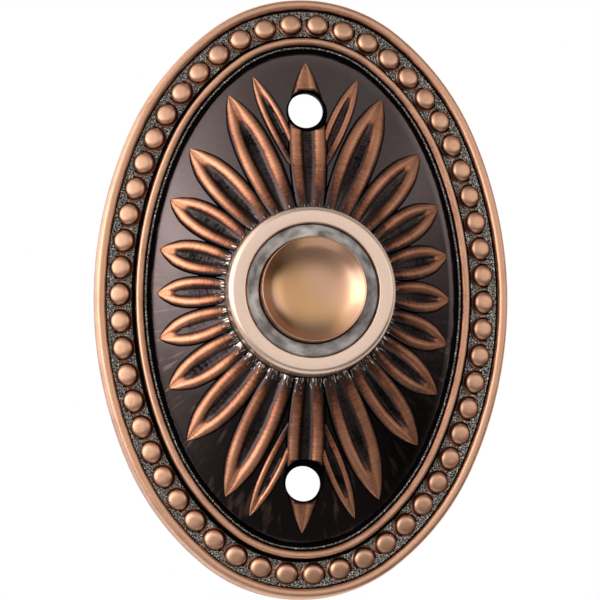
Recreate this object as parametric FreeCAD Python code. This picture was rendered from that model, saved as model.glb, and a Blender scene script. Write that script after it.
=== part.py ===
import FreeCAD, Part
import math
import os

# Oval doorbell push button: a hollow die-cast plate with a beaded border and a flower of
# petals, a round lit push button in its centre, and the switch that goes into the wall.
#
# All sizes are millimetres. Pieces are drawn face up: X is the width, Y runs up the plate
# and Z is the height above the wall. stand_up() turns each one upright, so that the face
# looks along -Y, the switch reaches into the wall along +Y, and the origin is where the
# button's axis meets the wall.

# Plate outline and screws
PLATE_WIDTH = 49.3
PLATE_HEIGHT = 71.4
END_RADIUS = 18.1
END_ARC_HEADING = 38.0
SIDE_ARC_HEADING = 66.0
SCREW_SPACING_SHARE = 0.62255
SCREW_HOLE_RADIUS = 2.1
SINK_RADIUS = 2.75
SINK_DEPTH = 1.4
SCREW_PAD_RADIUS = 3.5
SCREW_PAD_EDGE = 0.485

# Border section, measured inwards from the outline
RIM_WIDTH = 1.1
RIM_HEIGHT = 2.9
CHANNEL_WIDTH = 3.45
CHANNEL_FLOOR = 1.9
RIDGE_WIDTH = 1.0
RIDGE_HEIGHT = 3.5
GROOVE_WIDTH = 0.95
GROOVE_FLOOR = 2.6
WALL_DRAFT = 0.12
EDGE_ROUND = 0.4
EDGE_FLAT = (0.22, 0.78)
BACK_LAND = 1.7
PLATE_WALL = 1.3

# Beads in the channel
BEAD_COUNT = 54
BEAD_RADIUS = 1.16
BEAD_RISE = 0.8
BEAD_SIDES = 10
BEAD_SHOULDER = (0.84, 0.62)
BEAD_CROWN = 0.45

# Domed field between the border and the button
FIELD_EDGE_HEIGHT = 3.2
FIELD_LIP = 0.25
FIELD_LAND = 0.8
DOME_HEIGHT = 8.4
DOME_SIDES = 72
DOME_SEARCH = (-0.3, 1.4)
DOME_SEARCH_STEPS = 30

# Petals: the angle of each tip from the plate's width, in one quarter
PETAL_TIP_ANGLES = (0.0, 17.2, 35.0, 51.6, 69.0)
PETAL_ROOT_STEP = 18.0
PETAL_TIP_MARGIN_X = 0.4
PETAL_TIP_MARGIN_Y = 0.95
PETAL_ROOT_GAP = 0.15
SHORT_PETAL_WIDTH = 3.9
LONG_PETAL_WIDTH = 4.8
PETAL_RISE = 0.6
LEAF_TIP_ANGLE = 76.5
LEAF_LENGTH = 9.0
LEAF_WIDTH = 2.4
# Sections of a petal: place along its axis, width and groove as shares of its full size
PETAL_STATIONS = (
    (0.0, 0.66, 0.30),
    (0.25, 0.93, 0.38),
    (0.5, 1.0, 0.40),
    (0.72, 0.88, 0.26),
    (0.88, 0.55, 0.05),
    (1.0, 0.05, 0.02),
)
# Half of a petal's section, as shares of its half width and of its rise
PETAL_GROOVE_EDGE_RISE = 0.7
PETAL_FLANK = (0.9, 0.62)
# The four quarters of the plate, as (lower, left)
QUARTERS = ((0, 0), (0, 1), (1, 0), (1, 1))

# Button opening, bezel and lit ring
BEZEL_RADIUS = 10.0
BEZEL_TOP = 11.2
BEZEL_BEVEL = 0.45
BEZEL_INNER_RADIUS = 7.95
BEZEL_LIP = 0.2
SKIRT_WALL = 1.1
HUB_WALL = 0.7
HUB_BOTTOM = 2.8
RING_TOP = 10.85
RING_ROUND = 0.55
RING_FOOT_WIDTH = 0.5
RING_FOOT_HEIGHT = 0.75

# Button cap, dished
CAP_RADIUS = 6.2
CAP_TOP = 12.9
CAP_DISH_DEPTH = 1.7
CAP_DISH_SLOPE = 0.5
CAP_RIM_WIDTH = 0.25
CAP_FLOOR_THICKNESS = 1.1
CAP_WALL = 0.9
CAP_SKIRT_HEIGHT = 4.9
CAP_TRAVEL = 1.5

# Plunger
STEM_RADIUS = 2.0
SOCKET_WALL = 0.95
SOCKET_DEPTH = 1.4
SPIGOT_RADIUS = 1.6
COLLAR_RADIUS = 4.3
COLLAR_THICKNESS = 0.8
COLLAR_DROP = 1.0
NECK_RADIUS = 1.0
STAKE_RADIUS = 1.5
STAKE_HEIGHT = 0.45
CLIP_RADIUS = 3.1
CLIP_THICKNESS = 0.4
CLIP_GROOVE_DEPTH = 0.5
CLIP_MOUTH = 2.2

# Switch housing: ears under the plate, barrel in the hub, body in the wall
HOUSING_BODY_RADIUS = 7.5
HOUSING_WALL = 0.9
BODY_BOTTOM = -9.0
RELIEF_RADIUS = 7.15
RELIEF_BOTTOM = 0.1
EAR_BOTTOM = 1.2
EAR_THICKNESS = 1.4
EAR_WIDTH = 6.4
EAR_SCREW_SPACING = 27.2
BARREL_LEDGE = 4.8
BARREL_INNER_RADIUS = 8.0
BOARD_LEDGE = 2.4
WEB_TOP = 1.0
WEB_BOTTOM = -0.5
LUG_WIDTH = 3.0
LUG_HEIGHT = 0.7
LUG_RISE = 0.45
LUG_DROP = 0.25

# Screws that hold the housing to the plate
EAR_SCREW_RADIUS = 1.1
EAR_SCREW_HEAD_RADIUS = 1.95
EAR_SCREW_HEAD_HEIGHT = 0.9
EAR_SCREW_BITE = 2.2
BOSS_RADIUS = 2.4
PILOT_SPARE = 0.5
PILOT_ROOF = 0.6

# Return spring
SPRING_RADIUS = 3.2
SPRING_WIRE_RADIUS = 0.22
SPRING_TURNS = 4.0
SPRING_STEPS_PER_TURN = 20
SPRING_WIRE_SIDES = 6

# Contacts
BRIDGE_LENGTH = 8.8
BRIDGE_WIDTH = 2.6
BRIDGE_THICKNESS = 0.35
BRIDGE_HEIGHT = -4.2
STRIP_THICKNESS = 0.4
STRIP_WIDTH = 3.8
STRIP_INNER_END = 2.0
STRIP_OUTER_END = 6.2
TERMINAL_INNER_END = 1.3

# Rear cover, terminals
COVER_THICKNESS = 2.0
SPIGOT_HEIGHT = 1.0
PEDESTAL_INSET = 0.6
PEDESTAL_WIDTH = 2.8
TERMINAL_SPACING = 7.4
TERMINAL_SCREW_RADIUS = 1.25
TERMINAL_HEAD_RADIUS = 2.4
TERMINAL_HEAD_HEIGHT = 1.5
TERMINAL_SCREW_LENGTH = 3.3
CLAMP_SIZE = 4.8
CLAMP_THICKNESS = 0.5
SLOT_WIDTH = 0.6
SLOT_DEPTH = 0.6

# Lamp board
BOARD_THICKNESS = 1.0
BOARD_HOLE_RADIUS = 4.7
LED_LENGTH = 1.6
LED_WIDTH = 1.2
LED_HEIGHT = 0.8
LED_SPACING = 13.4
LED_LENS_RADIUS = 0.45
LED_LENS_HEIGHT = 0.2
PART_OFFSET = 6.1
RESISTOR_SIZE = (3.2, 1.6, 0.6)
DIODE_RADIUS = 0.65
DIODE_LENGTH = 3.5
PIN_RADIUS = 0.35
PIN_SPACING = 10.6
PIN_STANDOUT = 0.5

# Clearances
SLIDE_FIT = 0.15
STEM_FIT = 0.05
PRESS_FIT = 0.02
BARREL_FIT = 0.15
SEAT_FIT = 0.1
STOP_GAP = 0.08
CONTACT_GAP = 0.1

# Sizes that follow from the ones above
SCREW_SPACING = PLATE_HEIGHT * SCREW_SPACING_SHARE
FIELD_INSET = RIM_WIDTH + CHANNEL_WIDTH + RIDGE_WIDTH + GROOVE_WIDTH
DOME_HALF_WIDTH = PLATE_WIDTH / 2 - FIELD_INSET - FIELD_LIP
DOME_HALF_HEIGHT = PLATE_HEIGHT / 2 - FIELD_INSET - FIELD_LIP
SKIRT_RADIUS = BEZEL_INNER_RADIUS + SKIRT_WALL
HUB_BORE = SKIRT_RADIUS + BARREL_FIT
RING_RADIUS = BEZEL_INNER_RADIUS - SEAT_FIT
RING_BORE = CAP_RADIUS + SLIDE_FIT
SKIRT_BOTTOM = BARREL_LEDGE + RING_FOOT_HEIGHT + PRESS_FIT
CAP_BOTTOM = CAP_TOP - CAP_SKIRT_HEIGHT
CAP_CEILING = CAP_TOP - CAP_DISH_DEPTH - CAP_FLOOR_THICKNESS
SOCKET_BOTTOM = CAP_CEILING - SOCKET_DEPTH
COLLAR_TOP = SOCKET_BOTTOM - COLLAR_DROP
COLLAR_BOTTOM = COLLAR_TOP - COLLAR_THICKNESS
CLIP_TOP = WEB_BOTTOM - STOP_GAP
CHAMBER_RADIUS = HOUSING_BODY_RADIUS - HOUSING_WALL
EAR_TOP = EAR_BOTTOM + EAR_THICKNESS
STRIP_TOP = BRIDGE_HEIGHT - BRIDGE_THICKNESS - CAP_TRAVEL - CONTACT_GAP
COVER_BOTTOM = BODY_BOTTOM - COVER_THICKNESS
COVER_SPIGOT_RADIUS = CHAMBER_RADIUS - SEAT_FIT
TERMINAL_SEAT = COVER_BOTTOM - STRIP_THICKNESS
CLAMP_BOTTOM = TERMINAL_SEAT - CLAMP_THICKNESS
BOARD_TOP = BOARD_LEDGE + BOARD_THICKNESS

# How far cutting shapes stand past what they cut
MARGIN = 1.0
CUT_REACH = 3.0

V = FreeCAD.Vector
UP = V(0, 0, 1)


def turned(corners):
    """Solid of revolution about the button's axis, from (radius, height) corners."""
    points = [V(radius, 0, height) for radius, height in corners]
    face = Part.Face(Part.makePolygon(points + points[:1]))
    return face.revolve(V(0, 0, 0), UP, 360)


def disc(radius, bottom, top, x=0.0, y=0.0):
    """Upright cylinder between two heights."""
    return Part.makeCylinder(radius, top - bottom, V(x, y, bottom))


def block(width, length, bottom, top, x=0.0, y=0.0):
    """Upright box, centred on x and y, between two heights."""
    return Part.makeBox(width, length, top - bottom, V(x - width / 2, y - length / 2, bottom))


def slot_block(width, length, bottom, top):
    """Upright bar with round ends, its length along Y."""
    reach = (length - width) / 2
    bar = block(width, 2 * reach, bottom, top)
    ends = [disc(width / 2, bottom, top, y=side * reach) for side in (-1, 1)]
    return bar.multiFuse(ends).removeSplitter()


def faceted(rings):
    """Solid through closed rings of points, its sides laid in triangles."""
    triangles = []
    for near, far in zip(rings, rings[1:]):
        for index in range(len(near)):
            after = (index + 1) % len(near)
            triangles.append((near[index], near[after], far[after]))
            triangles.append((near[index], far[after], far[index]))
    outlines = triangles + [rings[0], rings[-1]]
    faces = [Part.Face(Part.makePolygon([*points, points[0]])) for points in outlines]
    solid = Part.makeSolid(Part.makeShell(faces))
    if solid.Volume < 0:
        solid.reverse()
    return solid


def heading(turn):
    """Unit vector at an angle from the top of the plate, clockwise."""
    return V(math.sin(turn), math.cos(turn), 0)


def outline_arcs():
    """The outline as tangent arcs from the top centre: centre, radius, first and last heading.

    The radii at the shoulders and sides follow from the plate's size, the end radius and
    the two headings where the arcs join.
    """
    half_width = PLATE_WIDTH / 2
    half_height = PLATE_HEIGHT / 2
    near = math.radians(END_ARC_HEADING)
    far = math.radians(SIDE_ARC_HEADING)
    a = math.sin(far) - math.sin(near)
    b = 1 - math.sin(far)
    c = math.cos(far) - math.cos(near)
    d = -math.cos(far)
    right = half_width - END_RADIUS * math.sin(near)
    below = END_RADIUS * (1 - math.cos(near)) - half_height
    shoulder = (right * d - b * below) / (a * d - b * c)
    side = (a * below - right * c) / (a * d - b * c)
    end_centre = V(0, half_height - END_RADIUS, 0)
    shoulder_centre = end_centre - heading(near) * (shoulder - END_RADIUS)
    side_centre = V(half_width - side, 0, 0)
    arcs = [(end_centre, END_RADIUS, 0, near)]
    arcs.append((shoulder_centre, shoulder, near, far))
    arcs.append((side_centre, side, far, math.pi - far))
    arcs.append((mirrored(shoulder_centre, 1, -1), shoulder, math.pi - far, math.pi - near))
    arcs.append((mirrored(end_centre, 1, -1), END_RADIUS, math.pi - near, math.pi))
    opposite = [
        (mirrored(centre, -1, -1), radius, first + math.pi, last + math.pi)
        for centre, radius, first, last in arcs
    ]
    return arcs + opposite


def mirrored(point, x_sign, y_sign):
    """The point with its x and y multiplied by the signs."""
    return V(point.x * x_sign, point.y * y_sign, point.z)


def outline_wire(inset, height):
    """Closed wire parallel to the outline, at a distance inside it."""
    edges = []
    for centre, radius, first, last in outline_arcs():
        points = [
            centre + heading(turn) * (radius - inset) + UP * height
            for turn in (first, (first + last) / 2, last)
        ]
        edges.append(Part.Arc(*points).toShape())
    return Part.Wire(edges)


def oval_ring(section):
    """Ring of constant section round the outline, from (inset, height) corners."""
    sectors = []
    for centre, radius, first, last in outline_arcs():
        points = [
            centre + heading(first) * (radius - inset) + UP * height
            for inset, height in section
        ]
        face = Part.Face(Part.makePolygon(points + points[:1]))
        sectors.append(face.revolve(centre, UP, -math.degrees(last - first)))
    return sectors[0].multiFuse(sectors[1:]).removeSplitter()


def border():
    """Rim, bead channel, inner ridge and groove."""
    channel = RIM_WIDTH
    ridge = channel + CHANNEL_WIDTH
    groove = ridge + RIDGE_WIDTH
    field = groove + GROOVE_WIDTH
    start, end = EDGE_FLAT
    rim_shoulder = RIM_HEIGHT - EDGE_ROUND
    ridge_shoulder = RIDGE_HEIGHT - EDGE_ROUND
    return oval_ring([
        (0, 0),
        (0, rim_shoulder),
        (RIM_WIDTH * start, RIM_HEIGHT),
        (RIM_WIDTH * end, RIM_HEIGHT),
        (channel, rim_shoulder),
        (channel + WALL_DRAFT, CHANNEL_FLOOR),
        (ridge - WALL_DRAFT, CHANNEL_FLOOR),
        (ridge, ridge_shoulder),
        (ridge + RIDGE_WIDTH * start, RIDGE_HEIGHT),
        (ridge + RIDGE_WIDTH * end, RIDGE_HEIGHT),
        (groove, ridge_shoulder),
        (groove + WALL_DRAFT, GROOVE_FLOOR),
        (field, GROOVE_FLOOR),
        (field, GROOVE_FLOOR - PLATE_WALL),
        (ridge, GROOVE_FLOOR - PLATE_WALL),
        (ridge, CHANNEL_FLOOR - PLATE_WALL),
        (BACK_LAND, CHANNEL_FLOOR - PLATE_WALL),
        (BACK_LAND, 0),
    ])


def polygon_ring(half_width, half_height, height, sides):
    """Corners of a polygon inscribed in an oval, from the top of the plate."""
    corners = []
    for index in range(sides):
        turn = math.tau * index / sides
        corners.append(V(half_width * math.sin(turn), half_height * math.cos(turn), height))
    return corners


def beads():
    """Low round beads, evenly spaced along the middle of the channel."""
    shoulder, shoulder_rise = BEAD_SHOULDER
    tiers = [
        (1, CHANNEL_FLOOR - PLATE_WALL / 2),
        (1, CHANNEL_FLOOR),
        (shoulder, CHANNEL_FLOOR + BEAD_RISE * shoulder_rise),
        (BEAD_CROWN, CHANNEL_FLOOR + BEAD_RISE),
    ]
    bead = faceted([
        polygon_ring(BEAD_RADIUS * share, BEAD_RADIUS * share, height, BEAD_SIDES)
        for share, height in tiers
    ])
    path = outline_wire(RIM_WIDTH + CHANNEL_WIDTH / 2, 0)
    places = path.discretize(Number=2 * BEAD_COUNT + 1)
    copies = []
    for place in places[1::2]:
        copy = bead.copy()
        copy.translate(place)
        copies.append(copy)
    return copies


def dome_size(rise):
    """Half width, half height and level of the dome: rise is 0 at its foot, 1 at the button."""
    return (
        DOME_HALF_WIDTH + (BEZEL_RADIUS - DOME_HALF_WIDTH) * rise,
        DOME_HALF_HEIGHT + (BEZEL_RADIUS - DOME_HALF_HEIGHT) * rise,
        FIELD_EDGE_HEIGHT + (DOME_HEIGHT - FIELD_EDGE_HEIGHT) * rise,
    )


def dome_height(x, y):
    """Height of the field's surface above a point of the plate, found by halving."""
    low, high = DOME_SEARCH
    for _ in range(DOME_SEARCH_STEPS):
        rise = (low + high) / 2
        half_width, half_height, _ = dome_size(rise)
        inside = (x / half_width) ** 2 + (y / half_height) ** 2 < 1
        low, high = (rise, high) if inside else (low, rise)
    return dome_size(low)[2]


def dome_block(inset, drop, foot):
    """Solid under the dome's surface moved in and down, and down to the foot's height."""
    rings = []
    for rise, height in ((0, foot), (0, FIELD_EDGE_HEIGHT - drop), (1, DOME_HEIGHT - drop)):
        half_width, half_height, _ = dome_size(rise)
        rings.append(polygon_ring(half_width - inset, half_height - inset, height, DOME_SIDES))
    return faceted(rings)


def dome_shell():
    """Domed field with its wall and a band that joins it to the groove."""
    bottom = FIELD_EDGE_HEIGHT - PLATE_WALL
    edge = outline_wire(FIELD_INSET - PRESS_FIT, bottom)
    band = Part.Face(edge).extrude(V(0, 0, PLATE_WALL))
    dome = dome_block(0, 0, FIELD_EDGE_HEIGHT - PLATE_WALL / 2)
    hollow = dome_block(FIELD_LAND, PLATE_WALL, bottom - MARGIN)
    return dome.fuse(band).cut(hollow)


def quarter_heading(angle, lower, left):
    """An angle above the plate's width, mirrored into one of the quarters, as a heading."""
    side = -angle if lower else angle
    turn = 180 - side if left else side
    return math.radians(90 - turn)


def petal_tip(turn):
    """Tip of the petal at a heading, on an oval a little inside the field's edge."""
    half_width = DOME_HALF_WIDTH - PETAL_TIP_MARGIN_X
    half_height = DOME_HALF_HEIGHT - PETAL_TIP_MARGIN_Y
    reach = math.hypot(math.sin(turn) / half_width, math.cos(turn) / half_height)
    return heading(turn) * (1 / reach)


def petal(root, tip, width):
    """One petal on the dome: sections with two ribs and a groove between them."""
    axis = tip - root
    across = V(axis.y, -axis.x, 0).normalize()
    sections = []
    for along, spread, groove in PETAL_STATIONS:
        half = width / 2 * spread
        sections.append(petal_section(root + axis * along, across, half, half * groove))
    return faceted(sections)


def petal_section(centre, across, half, groove):
    """Corners of a petal's section on the dome, across its axis."""
    flank, flank_rise = PETAL_FLANK
    valley = PETAL_RISE * max(1 - 2 * groove / half, 0)
    right = [
        (groove, PETAL_RISE * PETAL_GROOVE_EDGE_RISE),
        ((half + groove) / 2, PETAL_RISE),
        (half * flank, PETAL_RISE * flank_rise),
        (half, -PLATE_WALL / 4),
    ]
    left = [(-side, rise) for side, rise in reversed(right)]
    corners = []
    for side, rise in [(0, valley)] + right + left:
        spot = centre + across * side
        corners.append(V(spot.x, spot.y, dome_height(spot.x, spot.y) + rise))
    return corners


def petals():
    """The twenty petals and the four small leaves behind them."""
    steps = len(PETAL_TIP_ANGLES) - 1
    root_reach = BEZEL_RADIUS + PETAL_ROOT_GAP
    solids = []
    for index, tip_angle in enumerate(PETAL_TIP_ANGLES):
        width = SHORT_PETAL_WIDTH + (LONG_PETAL_WIDTH - SHORT_PETAL_WIDTH) * index / steps
        root_angle = PETAL_ROOT_STEP * index
        for lower, left in QUARTERS[:2] if index == 0 else QUARTERS:
            root = heading(quarter_heading(root_angle, lower, left)) * root_reach
            tip = petal_tip(quarter_heading(tip_angle, lower, left))
            solids.append(petal(root, tip, width))
    for turn in (0, math.pi):
        solids.append(petal(heading(turn) * root_reach, petal_tip(turn), LONG_PETAL_WIDTH))
    for lower, left in QUARTERS:
        tip = petal_tip(quarter_heading(LEAF_TIP_ANGLE, lower, left))
        root = tip * (1 - LEAF_LENGTH / tip.Length)
        solids.append(petal(root, tip, LEAF_WIDTH))
    return solids


def hub():
    """Solid round the button's axis under the dome, before the bore is cut."""
    return disc(HUB_BORE + HUB_WALL, HUB_BOTTOM, DOME_HEIGHT)


def ear_bosses():
    """Posts under the dome that take the housing's two screws."""
    reach = EAR_SCREW_SPACING / 2
    top = dome_height(0, reach) - PLATE_WALL / 2
    return [disc(BOSS_RADIUS, EAR_TOP, top, y=side * reach) for side in (-1, 1)]


def screw_pad_heights():
    """Bottom and top of the pads round the mounting screws' holes."""
    top = dome_height(0, SCREW_SPACING / 2 + SCREW_PAD_RADIUS)
    return top - SCREW_PAD_EDGE, top


def screw_pads():
    """Local thickening of the dome round each mounting screw's hole."""
    bottom, top = screw_pad_heights()
    reach = SCREW_SPACING / 2
    return [disc(SCREW_PAD_RADIUS, bottom, top, y=side * reach) for side in (-1, 1)]


def plate_cuts():
    """Bore, bezel seat, spot faces, screw holes and pilot holes of the plate."""
    cuts = [disc(HUB_BORE, HUB_BOTTOM - MARGIN, DOME_HEIGHT + MARGIN)]
    cuts.append(disc(BEZEL_RADIUS + SEAT_FIT, DOME_HEIGHT, DOME_HEIGHT + CUT_REACH))
    pilot_roof = dome_height(0, EAR_SCREW_SPACING / 2) - PILOT_ROOF
    pilot_top = min(EAR_TOP + EAR_SCREW_BITE + PILOT_SPARE, pilot_roof)
    pad_bottom, _ = screw_pad_heights()
    for side in (-1, 1):
        y = side * SCREW_SPACING / 2
        mouth = dome_height(0, y) + PETAL_RISE
        sink = Part.makeCone(
            SCREW_HOLE_RADIUS, SINK_RADIUS, SINK_DEPTH, V(0, y, mouth - SINK_DEPTH)
        )
        cuts.append(disc(SCREW_PAD_RADIUS, -MARGIN, pad_bottom, y=y))
        cuts.append(disc(SCREW_HOLE_RADIUS, 0, mouth, y=y))
        cuts.append(sink)
        cuts.append(disc(SINK_RADIUS, mouth, mouth + CUT_REACH, y=y))
        pilot_y = side * EAR_SCREW_SPACING / 2
        cuts.append(disc(EAR_SCREW_RADIUS, EAR_TOP - MARGIN, pilot_top, y=pilot_y))
    return cuts


def faceplate():
    """The die-cast plate in one piece."""
    beaded_border = border().multiFuse(beads())
    field = dome_shell().multiFuse([hub()] + ear_bosses() + screw_pads())
    flower = field.multiFuse(petals()).cut(plate_cuts())
    return beaded_border.fuse(flower)


def bezel_ring():
    """Copper-coloured ring round the button, with a skirt that drops into the hub."""
    return turned([
        (BEZEL_INNER_RADIUS, SKIRT_BOTTOM),
        (SKIRT_RADIUS, SKIRT_BOTTOM),
        (SKIRT_RADIUS, DOME_HEIGHT),
        (BEZEL_RADIUS, DOME_HEIGHT),
        (BEZEL_RADIUS, BEZEL_TOP - 2 * BEZEL_BEVEL),
        (BEZEL_RADIUS - BEZEL_BEVEL, BEZEL_TOP),
        (BEZEL_INNER_RADIUS + BEZEL_LIP, BEZEL_TOP),
        (BEZEL_INNER_RADIUS, BEZEL_TOP - BEZEL_LIP),
    ])


def light_ring():
    """Frosted tube that carries the lamps' light up round the cap."""
    foot_radius = RING_RADIUS + RING_FOOT_WIDTH
    foot_top = BARREL_LEDGE + RING_FOOT_HEIGHT
    return turned([
        (RING_BORE, BARREL_LEDGE),
        (foot_radius, BARREL_LEDGE),
        (foot_radius, foot_top),
        (RING_RADIUS, foot_top),
        (RING_RADIUS, RING_TOP - RING_ROUND),
        (RING_RADIUS - RING_ROUND, RING_TOP),
        (RING_BORE + RING_ROUND, RING_TOP),
        (RING_BORE, RING_TOP - RING_ROUND),
    ])


def button_cap():
    """Dished cap with a skirt, and a socket under it for the plunger."""
    dish_floor = CAP_TOP - CAP_DISH_DEPTH
    dish_radius = CAP_RADIUS - CAP_RIM_WIDTH
    socket_radius = SPIGOT_RADIUS + PRESS_FIT
    return turned([
        (0, dish_floor),
        (dish_radius - CAP_DISH_SLOPE, dish_floor),
        (dish_radius, CAP_TOP),
        (CAP_RADIUS, CAP_TOP),
        (CAP_RADIUS, CAP_BOTTOM),
        (CAP_RADIUS - CAP_WALL, CAP_BOTTOM),
        (CAP_RADIUS - CAP_WALL, CAP_CEILING),
        (socket_radius + SOCKET_WALL, CAP_CEILING),
        (socket_radius + SOCKET_WALL, SOCKET_BOTTOM),
        (socket_radius, SOCKET_BOTTOM),
        (socket_radius, CAP_CEILING),
        (0, CAP_CEILING),
    ])


def plunger():
    """Moulded stem: spigot, spring collar, clip groove and staked end."""
    groove_top = CLIP_TOP + PRESS_FIT
    groove_bottom = CLIP_TOP - CLIP_THICKNESS - PRESS_FIT
    groove_radius = STEM_RADIUS - CLIP_GROOVE_DEPTH
    stake_top = BRIDGE_HEIGHT - BRIDGE_THICKNESS
    return turned([
        (0, CAP_CEILING),
        (SPIGOT_RADIUS, CAP_CEILING),
        (SPIGOT_RADIUS, SOCKET_BOTTOM),
        (SPIGOT_RADIUS + SOCKET_WALL, SOCKET_BOTTOM),
        (SPIGOT_RADIUS + SOCKET_WALL, COLLAR_TOP),
        (COLLAR_RADIUS, COLLAR_TOP),
        (COLLAR_RADIUS, COLLAR_BOTTOM),
        (STEM_RADIUS, COLLAR_BOTTOM),
        (STEM_RADIUS, groove_top),
        (groove_radius, groove_top),
        (groove_radius, groove_bottom),
        (STEM_RADIUS, groove_bottom),
        (STEM_RADIUS, BRIDGE_HEIGHT),
        (NECK_RADIUS, BRIDGE_HEIGHT),
        (NECK_RADIUS, stake_top),
        (STAKE_RADIUS, stake_top),
        (STAKE_RADIUS, stake_top - STAKE_HEIGHT),
        (0, stake_top - STAKE_HEIGHT),
    ])


def plunger_clip():
    """Open retaining clip in the plunger's groove, under the housing's web."""
    bottom = CLIP_TOP - CLIP_THICKNESS
    hole_radius = STEM_RADIUS - CLIP_GROOVE_DEPTH + PRESS_FIT
    clip = disc(CLIP_RADIUS, bottom, CLIP_TOP).cut(disc(hole_radius, bottom, CLIP_TOP))
    mouth = block(CLIP_MOUTH, CLIP_RADIUS + MARGIN, bottom, CLIP_TOP, y=(CLIP_RADIUS + MARGIN) / 2)
    return clip.cut(mouth)


def return_spring():
    """Coil between the housing's web and the plunger's collar."""
    bottom = WEB_TOP + SPRING_WIRE_RADIUS
    climb = COLLAR_BOTTOM - SPRING_WIRE_RADIUS - bottom
    steps = round(SPRING_TURNS * SPRING_STEPS_PER_TURN)
    sections = []
    for index in range(steps + 1):
        turn = math.tau * SPRING_TURNS * index / steps
        outward = heading(turn)
        centre = outward * SPRING_RADIUS + UP * (bottom + climb * index / steps)
        points = []
        for corner in range(SPRING_WIRE_SIDES):
            angle = math.tau * corner / SPRING_WIRE_SIDES
            offset = outward * math.cos(angle) + UP * math.sin(angle)
            points.append(centre + offset * SPRING_WIRE_RADIUS)
        sections.append(Part.makePolygon(points + points[:1]))
    return Part.makeLoft(sections, True, True)


def contact_bridge():
    """Springy strip that closes the two fixed contacts when the button is pressed."""
    bottom = BRIDGE_HEIGHT - BRIDGE_THICKNESS
    strip = slot_block(BRIDGE_WIDTH, BRIDGE_LENGTH, bottom, BRIDGE_HEIGHT)
    strip.rotate(V(0, 0, 0), UP, 90)
    return strip.cut(disc(NECK_RADIUS + PRESS_FIT, bottom - MARGIN, BRIDGE_HEIGHT + MARGIN))


def fixed_contact(side):
    """Folded strip: a contact arm, a leg through the cover and a terminal tab."""
    inner = STRIP_OUTER_END - STRIP_THICKNESS
    corners = [
        (STRIP_INNER_END, STRIP_TOP),
        (STRIP_OUTER_END, STRIP_TOP),
        (STRIP_OUTER_END, TERMINAL_SEAT),
        (TERMINAL_INNER_END, TERMINAL_SEAT),
        (TERMINAL_INNER_END, COVER_BOTTOM),
        (inner, COVER_BOTTOM),
        (inner, STRIP_TOP - STRIP_THICKNESS),
        (STRIP_INNER_END, STRIP_TOP - STRIP_THICKNESS),
    ]
    points = [V(side * x, -STRIP_WIDTH / 2, height) for x, height in corners]
    strip = Part.Face(Part.makePolygon(points + points[:1])).extrude(V(0, STRIP_WIDTH, 0))
    hole = disc(
        TERMINAL_SCREW_RADIUS + SEAT_FIT,
        TERMINAL_SEAT - MARGIN,
        COVER_BOTTOM + PRESS_FIT,
        x=side * TERMINAL_SPACING / 2,
    )
    return strip.cut(hole)


def switch_housing():
    """Moulded housing: barrel and ears under the plate, round body in the wall."""
    body = turned([
        (STEM_RADIUS + STEM_FIT, WEB_BOTTOM),
        (CHAMBER_RADIUS, WEB_BOTTOM),
        (CHAMBER_RADIUS, BODY_BOTTOM),
        (HOUSING_BODY_RADIUS, BODY_BOTTOM),
        (HOUSING_BODY_RADIUS, RELIEF_BOTTOM),
        (RELIEF_RADIUS, RELIEF_BOTTOM),
        (RELIEF_RADIUS, EAR_BOTTOM),
        (SKIRT_RADIUS, EAR_BOTTOM),
        (SKIRT_RADIUS, SKIRT_BOTTOM),
        (RING_RADIUS + RING_FOOT_WIDTH + SEAT_FIT, SKIRT_BOTTOM),
        (RING_RADIUS + RING_FOOT_WIDTH + SEAT_FIT, BARREL_LEDGE),
        (BARREL_INNER_RADIUS, BARREL_LEDGE),
        (BARREL_INNER_RADIUS, BOARD_LEDGE),
        (CHAMBER_RADIUS, BOARD_LEDGE),
        (CHAMBER_RADIUS, WEB_TOP),
        (STEM_RADIUS + STEM_FIT, WEB_TOP),
    ])
    ears = slot_block(EAR_WIDTH, EAR_SCREW_SPACING + EAR_WIDTH, EAR_BOTTOM, EAR_TOP)
    ear_root = (BARREL_INNER_RADIUS + SKIRT_RADIUS) / 2
    ears = ears.cut(disc(ear_root, EAR_BOTTOM - MARGIN, EAR_TOP + MARGIN))
    cuts = []
    for side in (-1, 1):
        hole_radius = EAR_SCREW_RADIUS + SEAT_FIT
        cuts.append(disc(hole_radius, EAR_BOTTOM, EAR_TOP, y=side * EAR_SCREW_SPACING / 2))
        cuts.append(disc(PIN_RADIUS + SEAT_FIT, WEB_BOTTOM, WEB_TOP, x=side * PIN_SPACING / 2))
        cuts.append(lug(side, SEAT_FIT, 2 * HOUSING_WALL))
    return body.fuse(ears).cut(cuts)


def lug(side, grow, reach):
    """Snap lug of the rear cover, or the window for it when grown."""
    bottom = BODY_BOTTOM + LUG_DROP
    middle = side * (COVER_SPIGOT_RADIUS + (reach - LUG_RISE) / 2)
    length = LUG_RISE + reach
    return block(LUG_WIDTH + 2 * grow, length, bottom - grow, bottom + LUG_HEIGHT + grow, y=middle)


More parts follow.
